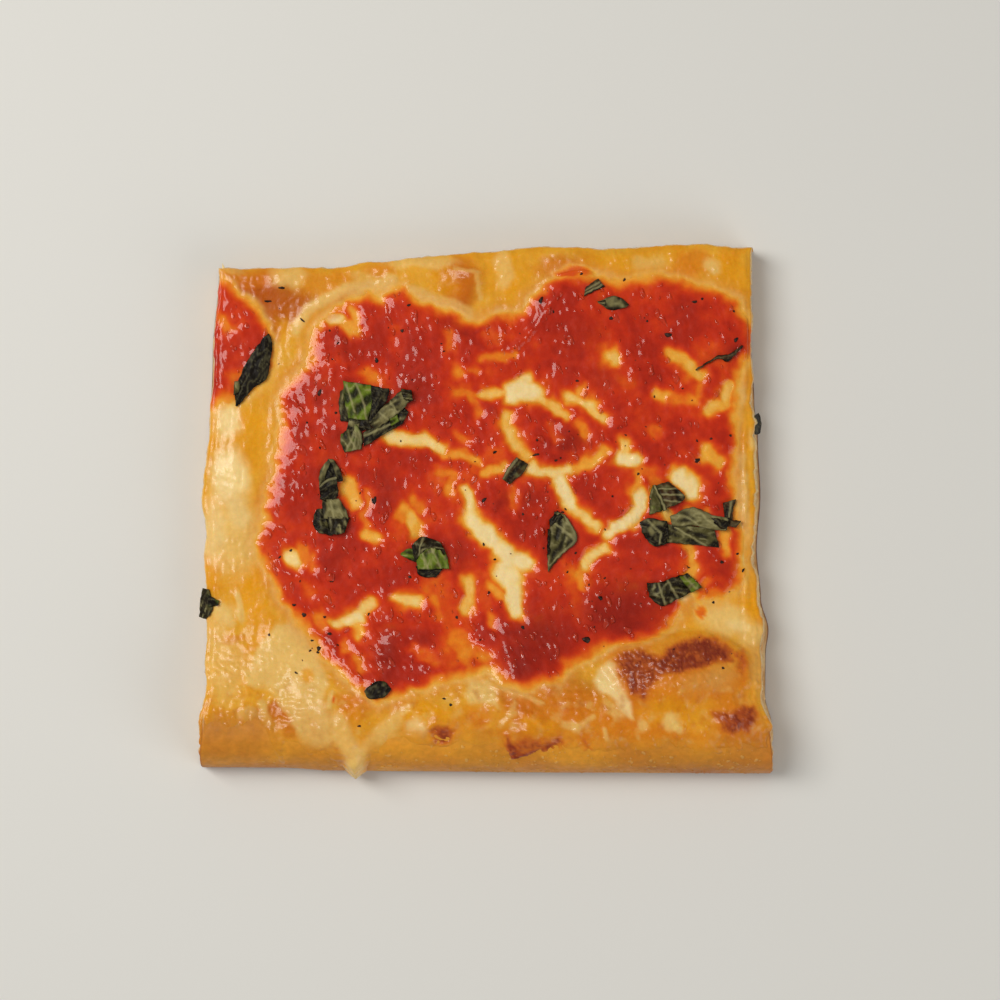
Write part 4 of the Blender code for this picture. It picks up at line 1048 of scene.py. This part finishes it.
tomato = food_finish("tomato_sauce", (0.36, 0.5), [(150, 0.05), (1100, 0.06)],
                     [(900, 0.00009), (2300, 0.00003)], 0.12, coat=0.5, coat_roughness=0.06, gloss=0.1)
sauce_sheet("tomato_sauce", sauce_line, [(-38.3, 48), (60.5, 51.5), (59.8, -19.8), (-41, -32.6)],
            (292, 250), "sauce")
sauce_sheet("tomato_sauce_corner", corner_line, [(-66, 58), (-56, 50.3), (-55, 30.8), (-66, 26)],
            (50, 78), "sauce_corner")

# The pulp. Bits of crushed tomato stand out of the film as wet, pinkish lumps,
# mostly drawn out from front to back, each a flat dome with an uneven outline.

PULP_RED = colour(200, 64, 32)
PULP_SPACING = 2.5
PULP_BEDS = [(-39, 44, 4), (8, -36, 4), (1, -33, 3), (-36, 38, 3), (-50, 30, 3), (-46, 26, 5),
             (-52, -12, 5), (-30, -12, 8), (-8, 20, 8), (2, 40, 6), (-20, 40, 8), (-12, -14, 6),
             (-30, -34, 4), (-4, 0, 4)]


def domes(x, q, length, width, turn, rise, sides=10):
    """Grids of flat lumps: five rings each, from a small crown to a skirt below the surface.

    Radii wobble with two slow sines, and the height falls from the crown to the skirt.
    """
    ring_size = np.array([0.22, 0.55, 0.85, 1.0, 1.16])[None, :, None]
    ring_rise = np.array([1.0, 0.9, 0.55, 0.05, -0.7])[None, :, None]
    t = (np.arange(sides) * 2 * np.pi / sides)[None, None, :]
    x, q, length, width, turn, rise = (v[:, None, None] for v in (x, q, length, width, turn, rise))
    wobble = ring_size * (1 + 0.2 * np.sin(2 * t + 9 * x) + 0.16 * np.sin(3 * t + 7 * q))
    along, aside = 0.5 * length * wobble * np.cos(t), 0.5 * width * wobble * np.sin(t)
    lump_x = x + along * np.cos(turn) - aside * np.sin(turn)
    lump_q = q + along * np.sin(turn) + aside * np.cos(turn)
    height = rise * ring_rise * (1 + 0.3 * np.sin(2 * t + 5 * x + 3 * q))
    return lump_x, lump_q, height + 0 * wobble


def lumps(name, places, tint):
    """Piece of many ringed lumps, open nowhere: bands between rings, and a face at each end."""
    numbers = np.arange(places[..., 0].size).reshape(places.shape[:3])
    low, high = numbers[:, 1:], numbers[:, :-1]
    bands = np.stack([low, np.roll(low, -1, 2), np.roll(high, -1, 2), high], -1).reshape(-1, 4)
    return surface(name, places.reshape(-1, 3), [bands, numbers[:, 0], numbers[:, -1, ::-1]],
                   tint.reshape(-1, 3))


spots_q, spots_x = np.meshgrid(np.arange(56, -46, -PULP_SPACING), np.arange(-66, 64, PULP_SPACING),
                               indexing="ij")
shuffle = [scatter(spots_x, spots_q, seed).ravel() for seed in range(201, 208)]
spots_x = spots_x.ravel() + PULP_SPACING * (shuffle[0] - 0.5)
spots_q = spots_q.ravel() + PULP_SPACING * (shuffle[1] - 0.5)
crowd = 0.46 - 0.14 * ease((spots_x - 20) / 30)
for bed_x, bed_q, reach in PULP_BEDS:
    bed = 1 - ease(np.hypot(spots_x - bed_x, spots_q - bed_q) / reach - 0.3)
    crowd = np.maximum(crowd, 0.85 * bed)
taken = (shuffle[2] < crowd) & (sauce_cover(spots_x, spots_q) > 0.5)
taken &= spots_x > left_edge(spots_q) + 1.6
spots_x, spots_q = spots_x[taken], spots_q[taken]
shuffle = [s[taken] for s in shuffle]
size = 0.8 + 2.2 * shuffle[3] ** 2
pulp_x, pulp_q, pulp_height = domes(
    spots_x, spots_q, size, size * (0.36 + 0.3 * shuffle[4]), np.radians(100 + 60 * (shuffle[5] - 0.5)),
    0.16 + 0.15 * size * shuffle[6])
pulp_cover = sauce_cover(pulp_x, pulp_q)
pulp_points = skin(pulp_x, pulp_q, sauce_top(pulp_x, pulp_q, pulp_cover) + pulp_height)
pulp_tint = tinge(sauce_paint(pulp_x, pulp_q, pulp_cover), PULP_RED, 0.4 * ease(pulp_height / 0.3))
pulp = lumps("tomato_pulp", pulp_points, pulp_tint)
serve(pulp, food_finish("tomato_pulp", (0.3, 0.45), [(900, 0.1)], [(1500, 0.00018), (3200, 0.00006)], 0.12,
                        coat=0.8, coat_roughness=0.07, gloss=0.1), "sauce")

# The basil. Torn leaves baked on top: mostly black and brittle, some faces still
# olive or green, creased, with paler veins. Each is thin sheets between two torn
# sides, laid on what is below and on each other.

LEAF_TONES = {"black": colour(20, 13, 6), "dark": colour(36, 28, 12), "olive": colour(84, 78, 40),
              "grey": colour(122, 114, 72), "green": colour(104, 124, 26), "brown": colour(62, 38, 16)}
# Pale of the veins, also laid along the leaves' ridges as a painted highlight.
VEIN_AND_RIDGE_HIGHLIGHT = colour(164, 156, 108)
LEAF_SHEET = 0.3
LEAF_LIFT = 0.35
LEAF_SPACING = 0.22
LEAF_STEP = 0.22
# Each sheet: first side, second side, main tone, crease tone, arch, veins as (u, v, u, v)
LEAVES = {
    "basil_corner": [
        ([(-53.6, 42.8), (-55.9, 39.7), (-58.1, 36.3), (-59.7, 32.9), (-61, 29.5), (-60.7, 25.8)],
         [(-52.6, 43.3), (-51.8, 40.6), (-52.3, 37), (-53.3, 32.5), (-56.5, 30), (-60.3, 25.6)],
         "black", "black", 0.8, []),
        ([(-61, 31.8), (-61.3, 28.4)], [(-59.6, 31.8), (-59.8, 29)], "olive", "grey", 0.3, [])],
    "basil_green": [
        ([(-35.4, 29.3), (-35.7, 25.5), (-35.2, 22)], [(-34.2, 30), (-33.7, 26), (-32.6, 22)],
         "dark", "olive", 0.3, []),
        ([(-34.7, 31.8), (-34.3, 27), (-33.4, 22.8)], [(-27.8, 30.8), (-27.5, 27), (-28.5, 22.2)],
         "green", "olive", 0.8, [(0, 0.45, 1, 0.9), (0.1, 0.1, 0.8, 0.35)]),
        ([(-28, 30.8), (-27.7, 26.4), (-28.6, 21.7)], [(-23.6, 29.9), (-23.9, 27.6), (-27.9, 21.5)],
         "black", "dark", 0.5, [])],
    "basil_folded": [
        ([(-33.6, 23.8), (-29.2, 23.4)], [(-31.8, 19.4), (-27.6, 20.2)], "black", "dark", 0.3, []),
        ([(-29.8, 19.5), (-26, 21.2), (-22.8, 23), (-19.8, 25.4)],
         [(-29.6, 15.9), (-24.5, 19.1), (-20.5, 21.4), (-18.8, 24.4)],
         "black", "grey", 0.5, [(0, 0.3, 0.8, 0.5)]),
        ([(-28.4, 21.6), (-25.2, 25.4), (-22.3, 28), (-20.2, 30)],
         [(-27, 20), (-23.6, 22.2), (-20.5, 24.6), (-18.2, 27.4)],
         "grey", "dark", 1.0, [(0.3, 0, 0.36, 1), (0.62, 0, 0.6, 1)]),
        ([(-20.6, 29.9), (-18.1, 29.6)], [(-19.8, 26.3), (-17.7, 26.9)], "dark", "olive", 1.2, []),
        ([(-23.4, 22.6), (-21.6, 23.8)], [(-23, 20.9), (-21, 22)], "green", "dark", 0.3, [])],
    "basil_tuck": [
        ([(-33.3, 22.4), (-33.8, 20), (-34.8, 18.2)], [(-30.6, 21.8), (-30.9, 19.5), (-31.2, 18)],
         "dark", "grey", 0.5, []),
        ([(-35.2, 19), (-35.3, 17), (-34.3, 14.5)], [(-31.4, 21.4), (-30, 18.5), (-30.2, 15.3)],
         "olive", "green", 0.7, [(0, 0.9, 1, 0.1), (0, 0.9, 1, 0.5), (0, 0.9, 1, 0.9)])],
    "basil_upper": [
        ([(-38.2, 12), (-39.6, 8)], [(-37.4, 12), (-35.8, 8)], "black", "dark", 0.2, []),
        ([(-38.3, 13), (-40.3, 9.9), (-40.4, 6.2)], [(-37.3, 12.7), (-38.8, 9.5), (-39, 6.4)],
         "grey", "black", 0.5, []),
        ([(-38.2, 12.9), (-36.8, 10.2), (-36, 7.4)], [(-37.1, 13), (-35.4, 10.4), (-34.7, 7.6)],
         "black", "grey", 0.7, []),
        ([(-40.4, 6.4), (-38.4, 8.2), (-36.1, 8.8)], [(-40.2, 3.2), (-38, 2.6), (-35.8, 4)],
         "black", "dark", 0.9, [(0, 0.06, 1, 0.06)])],
    "basil_lower": [
        ([(-39.8, -0.6), (-39.4, -5)], [(-36, -0.6), (-36.2, -5)], "black", "dark", 0.3, []),
        ([(-41.2, 0.9), (-42, -2.6), (-40.6, -5)], [(-39.4, 0.9), (-38.6, -2), (-37.4, -5.6)],
         "black", "olive", 0.5, []),
        ([(-39.8, 3.2), (-39.7, 0.5), (-39.3, -1.6)], [(-35.7, 3.4), (-33.9, 0.6), (-33.3, -1.5)],
         "grey", "olive", 0.9, [(0.1, 0.5, 0.9, 0.4)]),
        ([(-38.4, -1), (-37.6, -5.5)], [(-33, -1.2), (-34.3, -5)], "dark", "grey", 1.0, [])],
    "basil_fresh": [
        ([(-17.2, -13), (-16, -15.4), (-12.2, -15.7)], [(-16.2, -12.4), (-14.5, -13), (-10.6, -13.7)],
         "black", "dark", 0.2, []),
        ([(-20.8, -9.9), (-19, -8.7), (-17.4, -8.8)], [(-20.7, -10.3), (-19.3, -11.1), (-17.2, -12)],
         "green", "green", 0.4, []),
        ([(-16.6, -6.8), (-17, -10), (-16.7, -13.8)], [(-11.2, -7.4), (-9.7, -10), (-9, -13.6)],
         "green", "olive", 1.2, [(0, 0.1, 1, 0.35), (0, 0.5, 1, 0.75)]),
        ([(-18.2, -8), (-15.6, -5.9), (-11.4, -7.1), (-9.9, -9.4)],
         [(-17.2, -12), (-15.4, -9.6), (-12.2, -9.3), (-10.2, -10.3)],
         "dark", "olive", 1.3, [(0.35, 0.1, 0.2, 1)])],
    "basil_square": [
        ([(7.2, 13.4), (5.4, 11.2), (3.8, 8.2)], [(10, 11.8), (8.8, 9.4), (5.4, 6.8)],
         "brown", "olive", 0.4, [(0, 0.12, 1, 0.1)])],
    "basil_spear": [
        ([(16.5, 0.4), (15, -4.5), (14.7, -10.5), (14.9, -14.4)],
         [(18.9, -0.4), (22, -6.2), (18.2, -10.3), (15.1, -14.3)],
         "olive", "grey", 0.9, [(0.13, 0, 0.42, 0.95), (0.02, 0.9, 0.42, 0.97), (0.42, 0.97, 0.8, 0.8)]),
        ([(15.1, -1.8), (17.2, 0.5)], [(15.4, -3.4), (18.8, -1.2)], "black", "dark", 1.1, []),
        ([(14.7, -4), (14.6, -10.4)], [(15.3, -4), (15.4, -9.8)], "black", "dark", 1.0, [])],
    "basil_veined": [
        ([(40.1, 6.5), (39.4, 3.5), (39.4, -0.5)], [(40.7, 6.2), (42, 3), (43, 0.5)],
         "olive", "green", 0.5, []),
        ([(40.9, 6.6), (42.2, 3.6), (43.4, 1)], [(44, 7.5), (48, 3.8), (45.4, 1.6)],
         "brown", "olive", 0.9, [(0.15, 0, 0.3, 1), (0.4, 0, 0.55, 1), (0.65, 0, 0.8, 1)]),
        ([(40.1, 6.7), (41.6, 3.3), (42.9, 0.3)], [(40.9, 6.7), (42.5, 3.5), (43.7, 0.8)],
         "grey", "green", 1.0, [(0, 0.5, 1, 0.5)])],
    "basil_long": [
        ([(43.6, -2.8), (49, -3.2), (55, -3.8)], [(43.6, -7.2), (48.6, -7.7), (56.4, -8.4)],
         "olive", "dark", 0.6, [(0.1, 0, 0.75, 1)]),
        ([(37.1, -2.3), (39.4, -1.3), (43.8, -2.2)], [(37.6, -5), (40.4, -8.1), (44.2, -7.4)],
         "black", "grey", 0.9, [(0.3, 0.1, 0.75, 0.5), (0.75, 0.5, 0.7, 0.9)]),
        ([(44.4, -1), (49.7, 1.3), (55, -0.7), (58.6, -1.2)],
         [(45, -4), (49.5, -3.1), (54, -4.1), (58, -4.4)],
         "grey", "olive", 1.2, [(0.15, 0.2, 0.5, 1), (0.4, 0, 0.8, 0.7)]),
        ([(53.6, -1.4), (58.8, -1.3)], [(55.4, -3.8), (58.2, -4.2)], "black", "dark", 1.4, [])],
    "basil_tail": [
        ([(57.2, 2.3), (57.5, 0), (57.6, -2.2)], [(60.4, 3.2), (59.7, 0.2), (59.6, -2)],
         "brown", "dark", 0.6, [(0, 0.7, 1, 0.5)]),
        ([(57.6, -1.6), (61.7, -2)], [(57.4, -3.4), (60.4, -3.6)], "brown", "black", 0.9, [])],
    "basil_rolled": [
        ([(38.7, -17), (42, -16.9), (44.8, -15.8), (48.7, -14.7)],
         [(39.4, -20.4), (42.4, -22.7), (46.2, -21), (52.2, -18)],
         "dark", "olive", 1.3, [(0.27, 0, 0.33, 1), (0.5, 0, 0.56, 1)]),
        ([(46.6, -15.6), (48.7, -14.7)], [(49.6, -19.4), (52.1, -18)],
         "green", "olive", 1.6, [(0.5, 0, 0.5, 1)])],
    "basil_grey": [
        ([(26.8, 51.1), (28.4, 51.6), (30.5, 52.4), (32.5, 52), (34.4, 50.4)],
         [(26.9, 50.8), (28.2, 49.8), (30.2, 49), (32.8, 49.4), (34.3, 50)], "grey", "dark", 0.5, []),
        ([(26.8, 51.1), (28.8, 51.4)], [(26.9, 50.8), (28.8, 49.9)], "dark", "olive", 0.6, [])],
    "basil_sliver": [
        ([(24, 54.5), (26.9, 56.7)], [(23.5, 52.3), (28.6, 54.7)],
         "brown", "olive", 0.3, [(0, 0.4, 1, 0.4), (0, 0.75, 1, 0.75)])],
    "basil_burnt": [
        ([(50.6, 34.7), (55.9, 37.9), (58.5, 38.3), (62, 40.6)],
         [(50.7, 34.3), (55.9, 37.2), (58.3, 36.5), (62.1, 40.1)], "brown", "black", 0.4, [])],
    "basil_charred": [
        ([(-29.5, -43), (-27.2, -40.9), (-24.6, -40.7), (-23, -42.4)],
         [(-29.3, -43.5), (-28.2, -44.7), (-24.8, -44.5), (-23.1, -42.9)], "black", "olive", 0.6, [])],
    "basil_edge_left": [
        ([(-69.8, -25.4), (-69.5, -21), (-68.9, -18.4)], [(-68, -26), (-66.3, -23), (-67.3, -18.6)],
         "dark", "olive", 0.5, []),
        ([(-67.9, -19.6), (-64.7, -21.4)], [(-67.4, -23), (-64.9, -22.4)], "black", "green", 0.6, [])],
    "basil_edge_right": [
        ([(65.2, 23.7), (65, 21), (65.4, 18.9)], [(66.4, 24.3), (67.2, 22), (66.8, 19.3)],
         "black", "olive", 0.3, [])]}


def resting_height(x, y):
    """Height of what a leaf lies on: the sauce or the cheese, and down its side past the cuts."""
    left = between(LEFT_CUT, y) + 1.2
    right = right_edge(y) + 0.9
    hang = 0.8 * np.clip(left - x, 0, None) + 2.4 * np.clip(x - right, 0, None)
    x = np.clip(x, left, right)
    q = q_of(y)
    return skin(x, q, food_top(x, q))[..., 2] - hang


def leaf_sheet(first, second, main, crease, arch, veins, layer, seed):
    """One thin sheet of leaf between two torn sides, as points, faces and colours.

    u runs along the sides and v from the first to the second. The sheet arches
    over v, crumples in ridged noise, and veins stand along their lines.
    """
    span = 0.5 * sum(np.hypot(*np.diff(np.array(s), axis=0).T).sum() for s in (first, second))
    reach = 3.0
    if len(first) == len(second):
        reach = np.hypot(*(np.array(first) - np.array(second)).T).mean()
    rows, columns = int(np.clip(span / LEAF_STEP, 10, 64)), int(np.clip(reach / LEAF_STEP, 8, 34))
    u, v = np.linspace(0, 1, rows), np.linspace(0, 1, columns)

    def side(points):
        """A torn side as one place for each row: curved where it has more than two points."""
        curve = rounded(points, 0.2, closed=False) if len(points) > 2 else np.array(points, float)
        return at_shares(np.vstack([curve, points[-1]]), u)[:, None]

    flat = side(first) * (1 - v)[None, :, None] + side(second) * v[None, :, None]
    flat = flat + 0.16 * np.stack([noise(flat[..., 0], flat[..., 1], 1.1, seed + k) for k in (1, 2)], -1)
    x, y = flat[..., 0], flat[..., 1]
    grid_u, grid_v = np.meshgrid(u, v, indexing="ij")
    along, aside = flat[-1].mean(0) - flat[0].mean(0), flat[:, -1].mean(0) - flat[:, 0].mean(0)
    run_x, run_y = along / np.hypot(*along)
    lengthwise, crosswise = x * run_x + y * run_y, y * run_x - x * run_y
    ridged = 1 - 2 * abs(noise(0.4 * lengthwise + 0.3 * crosswise, crosswise, 1.7, seed + 3))
    fine = 1 - 2 * abs(noise(0.6 * lengthwise, crosswise, 0.9, seed + 4))
    vein = np.zeros_like(x)
    for u0, v0, u1, v1 in veins:
        line = [(u0 * span, v0 * reach), (u1 * span, v1 * reach)]
        vein = np.maximum(vein, 1 - ease((path_distance(grid_u * span, grid_v * reach, line) - 0.1) / 0.28))
    base = resting_height(x, y)
    base = 0.85 * base + 0.15 * base.mean()
    rim = np.minimum(np.minimum(grid_u, 1 - grid_u) * span, np.minimum(grid_v, 1 - grid_v) * reach)
    bow = 0.55 * arch * np.sin(np.pi * grid_v) * (0.5 + 0.5 * np.sin(np.pi * grid_u))
    height = base + LEAF_LIFT + LEAF_SPACING * layer + bow
    height = height + 0.4 * arch * ridged + 0.15 * fine + 0.14 * vein + 0.1 * (1 - ease(rim / 0.5))
    blotch = ease(1.3 * noise(x, y, 1.7, seed + 5) + 0.15 * ridged - 0.05)
    # Painted light on the crumpled leaf: pale highlights along its ridges, stronger in lit patches, and
    # painted shade, near black, in the folds between them.
    lit = ease(0.3 + 1.4 * noise(x, y, 2.6, seed + 6)) * (main not in ("black", "brown"))
    painted_ridge_highlight = (0.15 + 0.55 * lit) * ease((ridged - 0.7) / 0.28) + 0.14 * ease((fine - 0.84) / 0.16)
    tint = coated(LEAF_TONES[main], (LEAF_TONES[crease], blotch),
                  (LEAF_TONES["black"], 0.92 * ease(0.8 - 1.2 * ridged)), (VEIN_AND_RIDGE_HIGHLIGHT, painted_ridge_highlight),
                  (VEIN_AND_RIDGE_HIGHLIGHT, 0.6 * vein), (LEAF_TONES["black"], 0.55 * (1 - ease(rim / 0.35))))
    top = np.stack([x, y, height], -1)
    under = top - np.array([0, 0, LEAF_SHEET])
    numbers = np.arange(rows * columns).reshape(rows, columns)
    edge_rows = np.vstack([border(numbers)[None], border(numbers + numbers.size)[None]])
    faces = np.vstack([grid_quads(numbers), grid_quads(numbers + numbers.size)[:, ::-1],
                       band_quads(edge_rows, flip=True)])
    if along[0] * aside[1] - along[1] * aside[0] < 0:
        faces = faces[:, ::-1]
    return np.vstack([top.reshape(-1, 3), under.reshape(-1, 3)]), faces, np.tile(tint.reshape(-1, 3), (2, 1))


dried_leaf = food_finish("dried_basil", (0.4, 0.56), [(900, 0.15)], [(1400, 0.00012), (3500, 0.00006)],
                         0.0, gloss=0.14)
for order, (name, sheets) in enumerate(LEAVES.items()):
    points, faces, tints, start = [], [], [], 0
    for layer, sheet in enumerate(sheets):
        sheet_points, sheet_faces, sheet_tints = leaf_sheet(*sheet, layer, 301 + 17 * order + 3 * layer)
        points.append(sheet_points)
        faces.append(sheet_faces + start)
        tints.append(sheet_tints)
        start += len(sheet_points)
    leaf = surface(name + "_leaf", np.vstack(points), [np.vstack(faces)], np.vstack(tints))
    serve(leaf, dried_leaf, "basil", name)

# The herb flecks. Crumbs of dried herb and seeds that stuck to the wet sauce
# and the cheese, dark brown or black, from a third of a millimetre to just over two long.

FLECKS = [(-49.6, 54.4, 1.7, 0.6, -10), (-53, 51.2, 1.7, 0.6, -5), (-44.6, 46.6, 1.4, 0.5, -45),
          (-27.2, 3, 1.8, 1.4, 60), (27.6, -20.7, 1.2, 1.1, 0), (21.6, -9.8, 0.7, 0.6, 0),
          (48.6, -13.2, 0.8, 0.7, 0), (57, -12, 1, 0.8, 40), (60.8, -10, 0.7, 0.6, 0),
          (55, -21.8, 0.8, 0.6, 0), (24.2, -31.4, 2.2, 1.6, 20), (8.8, -28, 1, 1, 0),
          (-37.5, -16.6, 0.9, 0.8, 0), (-46.6, -22.4, 0.9, 0.8, 0), (-44.2, -24.8, 1.3, 1, 30),
          (-40.6, -33.6, 1.4, 0.9, 60), (-38, -29.8, 1.3, 0.8, 20), (-20.4, 44, 1.1, 0.7, 10),
          (-26.6, 36.8, 1.4, 0.8, 80), (-40.4, 29, 1.6, 1, 60), (-18.8, 50.2, 0.9, 0.7, 0),
          (13.2, 51.4, 1.9, 1, 60), (23, 57.8, 0.8, 0.6, 0), (33.4, 56.4, 1.1, 0.5, 50),
          (50.4, 51, 1.2, 0.8, 0), (44, 43, 1.8, 1.2, -20), (30.2, 47, 1, 1, 0),
          (60.4, 41.8, 1.4, 0.9, 70), (51, 12.6, 1.4, 1.2, 0), (16.8, 12.6, 0.8, 0.6, 0),
          (12, 14, 1.6, 0.7, 10), (2, 14.6, 1.2, 0.6, 20), (-0.6, 3, 1.4, 0.9, 40),
          (-47.4, -9.2, 0.7, 0.7, 0), (-18.6, -15.6, 0.9, 0.8, 0), (-7.2, -25.4, 0.8, 0.7, 0),
          (0.6, -19.4, 0.8, 0.7, 0), (-36, 41, 0.8, 0.5, 60), (-30.6, -52.4, 0.8, 0.6, 0),
          (-52.6, -30, 0.7, 0.7, 0), (-40.8, -34.6, 0.8, 0.7, 0), (-8.6, -47.4, 0.9, 0.6, 0),
          (-10.2, -46, 0.8, 0.5, 0), (62.2, -14, 1, 0.6, 50)]
HERB_BROWN, SEED_RED = colour(58, 28, 14), colour(112, 40, 20)
LOOSE_COUNT = 110.0
each = np.arange(LOOSE_COUNT)
loose_x, loose_q = -52 + 112 * scatter(each, 3.0, 401), -40 + 92 * scatter(each, 5.0, 403)
loose_size = 0.35 + 0.5 * scatter(each, 7.0, 405) ** 2
placed = np.array(FLECKS).T
placed[4] = np.radians(placed[4])
loose = [loose_x, loose_q, loose_size, 0.7 * loose_size, 6.3 * scatter(each, 9.0, 407)]
fleck_x, fleck_q, fleck_length, fleck_width, fleck_turn = np.hstack([placed, loose])
grain_x, grain_q, grain_height = domes(fleck_x, fleck_q, fleck_length, fleck_width, fleck_turn,
                                       0.12 + 0.1 * fleck_length, sides=8)
grain_points = skin(grain_x, grain_q, food_top(grain_x, grain_q) + grain_height)
grain_tint = coated(HERB_BROWN, (LEAF_TONES["black"], ease(noise(fleck_x, fleck_q, 3.0, 409) + 0.5)),
                    (SEED_RED, (fleck_length < 0.5) * 0.8))
grain_tint = np.broadcast_to(grain_tint[:, None, None, :], grain_points.shape)
herbs = lumps("herb_flecks", grain_points, grain_tint)
serve(herbs, food_finish("dried_herb", (0.4, 0.6), [(1500, 0.2)], [(2500, 0.00008)], 0.0), "basil")

# The skin blisters. Small bubbles that steam blew in the rim as it baked, paler
# than the skin round them, most of them on its right half.

SKIN_BLISTER_PALE = colour(246, 202, 128)
SKIN_BLISTER_COUNT = 340.0
each = np.arange(SKIN_BLISTER_COUNT)
blister_x = -60 + 127 * scatter(each, 1.0, 501) ** 0.62
blister_q = -57.0 - 12.5 * scatter(each, 2.0, 503)
blister_size = 0.35 + 0.9 * scatter(each, 4.0, 505) ** 3
blister_y = y_of(blister_q)
on_rim = (blister_x > between(LEFT_CUT, blister_y) + 3) & (blister_x < between(RIGHT_CUT, blister_y) - 2.5)
on_rim &= front_edge(blister_x, blister_q) < 2.0
blister_x, blister_q, blister_size = blister_x[on_rim], blister_q[on_rim], blister_size[on_rim]
dot_x, dot_q, dot_height = domes(blister_x, blister_q, blister_size, 0.85 * blister_size, 0.4 * blister_x,
                                 0.05 + 0.05 * blister_size, sides=8)
crest = ease((dot_q + 64) / 6)
dot_points = skin(dot_x, dot_q, 0.24 + crest * rim_lumps(dot_x, dot_q) + dot_height)
dot_tint = tinge(rim_tint(dot_x, dot_points[..., 2]), SKIN_BLISTER_PALE, 0.26 * ease(dot_height / 0.08))
serve(lumps("skin_blisters", dot_points, dot_tint), baked_dough, "crust")

# The setting: a plain pale floor, a broad soft light from the left, a weaker one
# from the front right and a dim room, seen from straight above.

floor_mesh = bpy.data.meshes.new("floor")
floor_mesh.from_pydata([(-3, -3, 0), (3, -3, 0), (3, 3, 0), (-3, 3, 0)], [], [(0, 1, 2, 3)])
floor = put("floor", floor_mesh)
matt = bpy.data.materials.new("pale_floor")
matt.use_nodes = True
fill(matt.node_tree.nodes["Principled BSDF"], Base_Color=(0.80, 0.79, 0.75, 1), Roughness=0.8)
floor_mesh.materials.append(matt)


def soft_light(name, place, size_x, size_y, power, tone):
    """Rectangular light at a place in metres, facing the slice."""
    data = bpy.data.lights.new(name, "AREA")
    data.shape = "RECTANGLE"
    data.size, data.size_y = size_x, size_y
    data.energy, data.color = power, tone
    light = put(name, data)
    light.location = place
    light.rotation_euler = (Vector((0, 0, 0)) - Vector(place)).to_track_quat("-Z", "Y").to_euler()


soft_light("window_light", (-0.52, 0.24, 0.84), 0.40, 0.62, 6.4, (1.0, 0.98, 0.94))
soft_light("fill_light", (0.66, -0.50, 0.52), 0.70, 0.70, 2.3, (1.0, 0.98, 0.95))

room = bpy.data.worlds.new("room")
room.use_nodes = True
fill(room.node_tree.nodes["Background"], Color=(1.0, 0.99, 0.97, 1), Strength=0.25)
bpy.context.scene.world = room
bpy.context.scene.view_settings.view_transform = "Standard"

MM_PER_PIXEL = 0.242
FRAME_PIXELS = 1000
VIEW_X, VIEW_Y, VIEW_HEIGHT = 3.27, 3.03, 750.0
SLICE_TOP = 12.0
SENSOR = 36.0
camera_data = bpy.data.cameras.new("camera")
camera = put("camera", camera_data)
camera.location = (VIEW_X * MM, VIEW_Y * MM, VIEW_HEIGHT * MM)
camera_data.sensor_width = SENSOR
camera_data.lens = SENSOR * (VIEW_HEIGHT - SLICE_TOP) / (FRAME_PIXELS * MM_PER_PIXEL)
camera_data.clip_start, camera_data.clip_end = 0.01, 10.0
bpy.context.scene.camera = camera
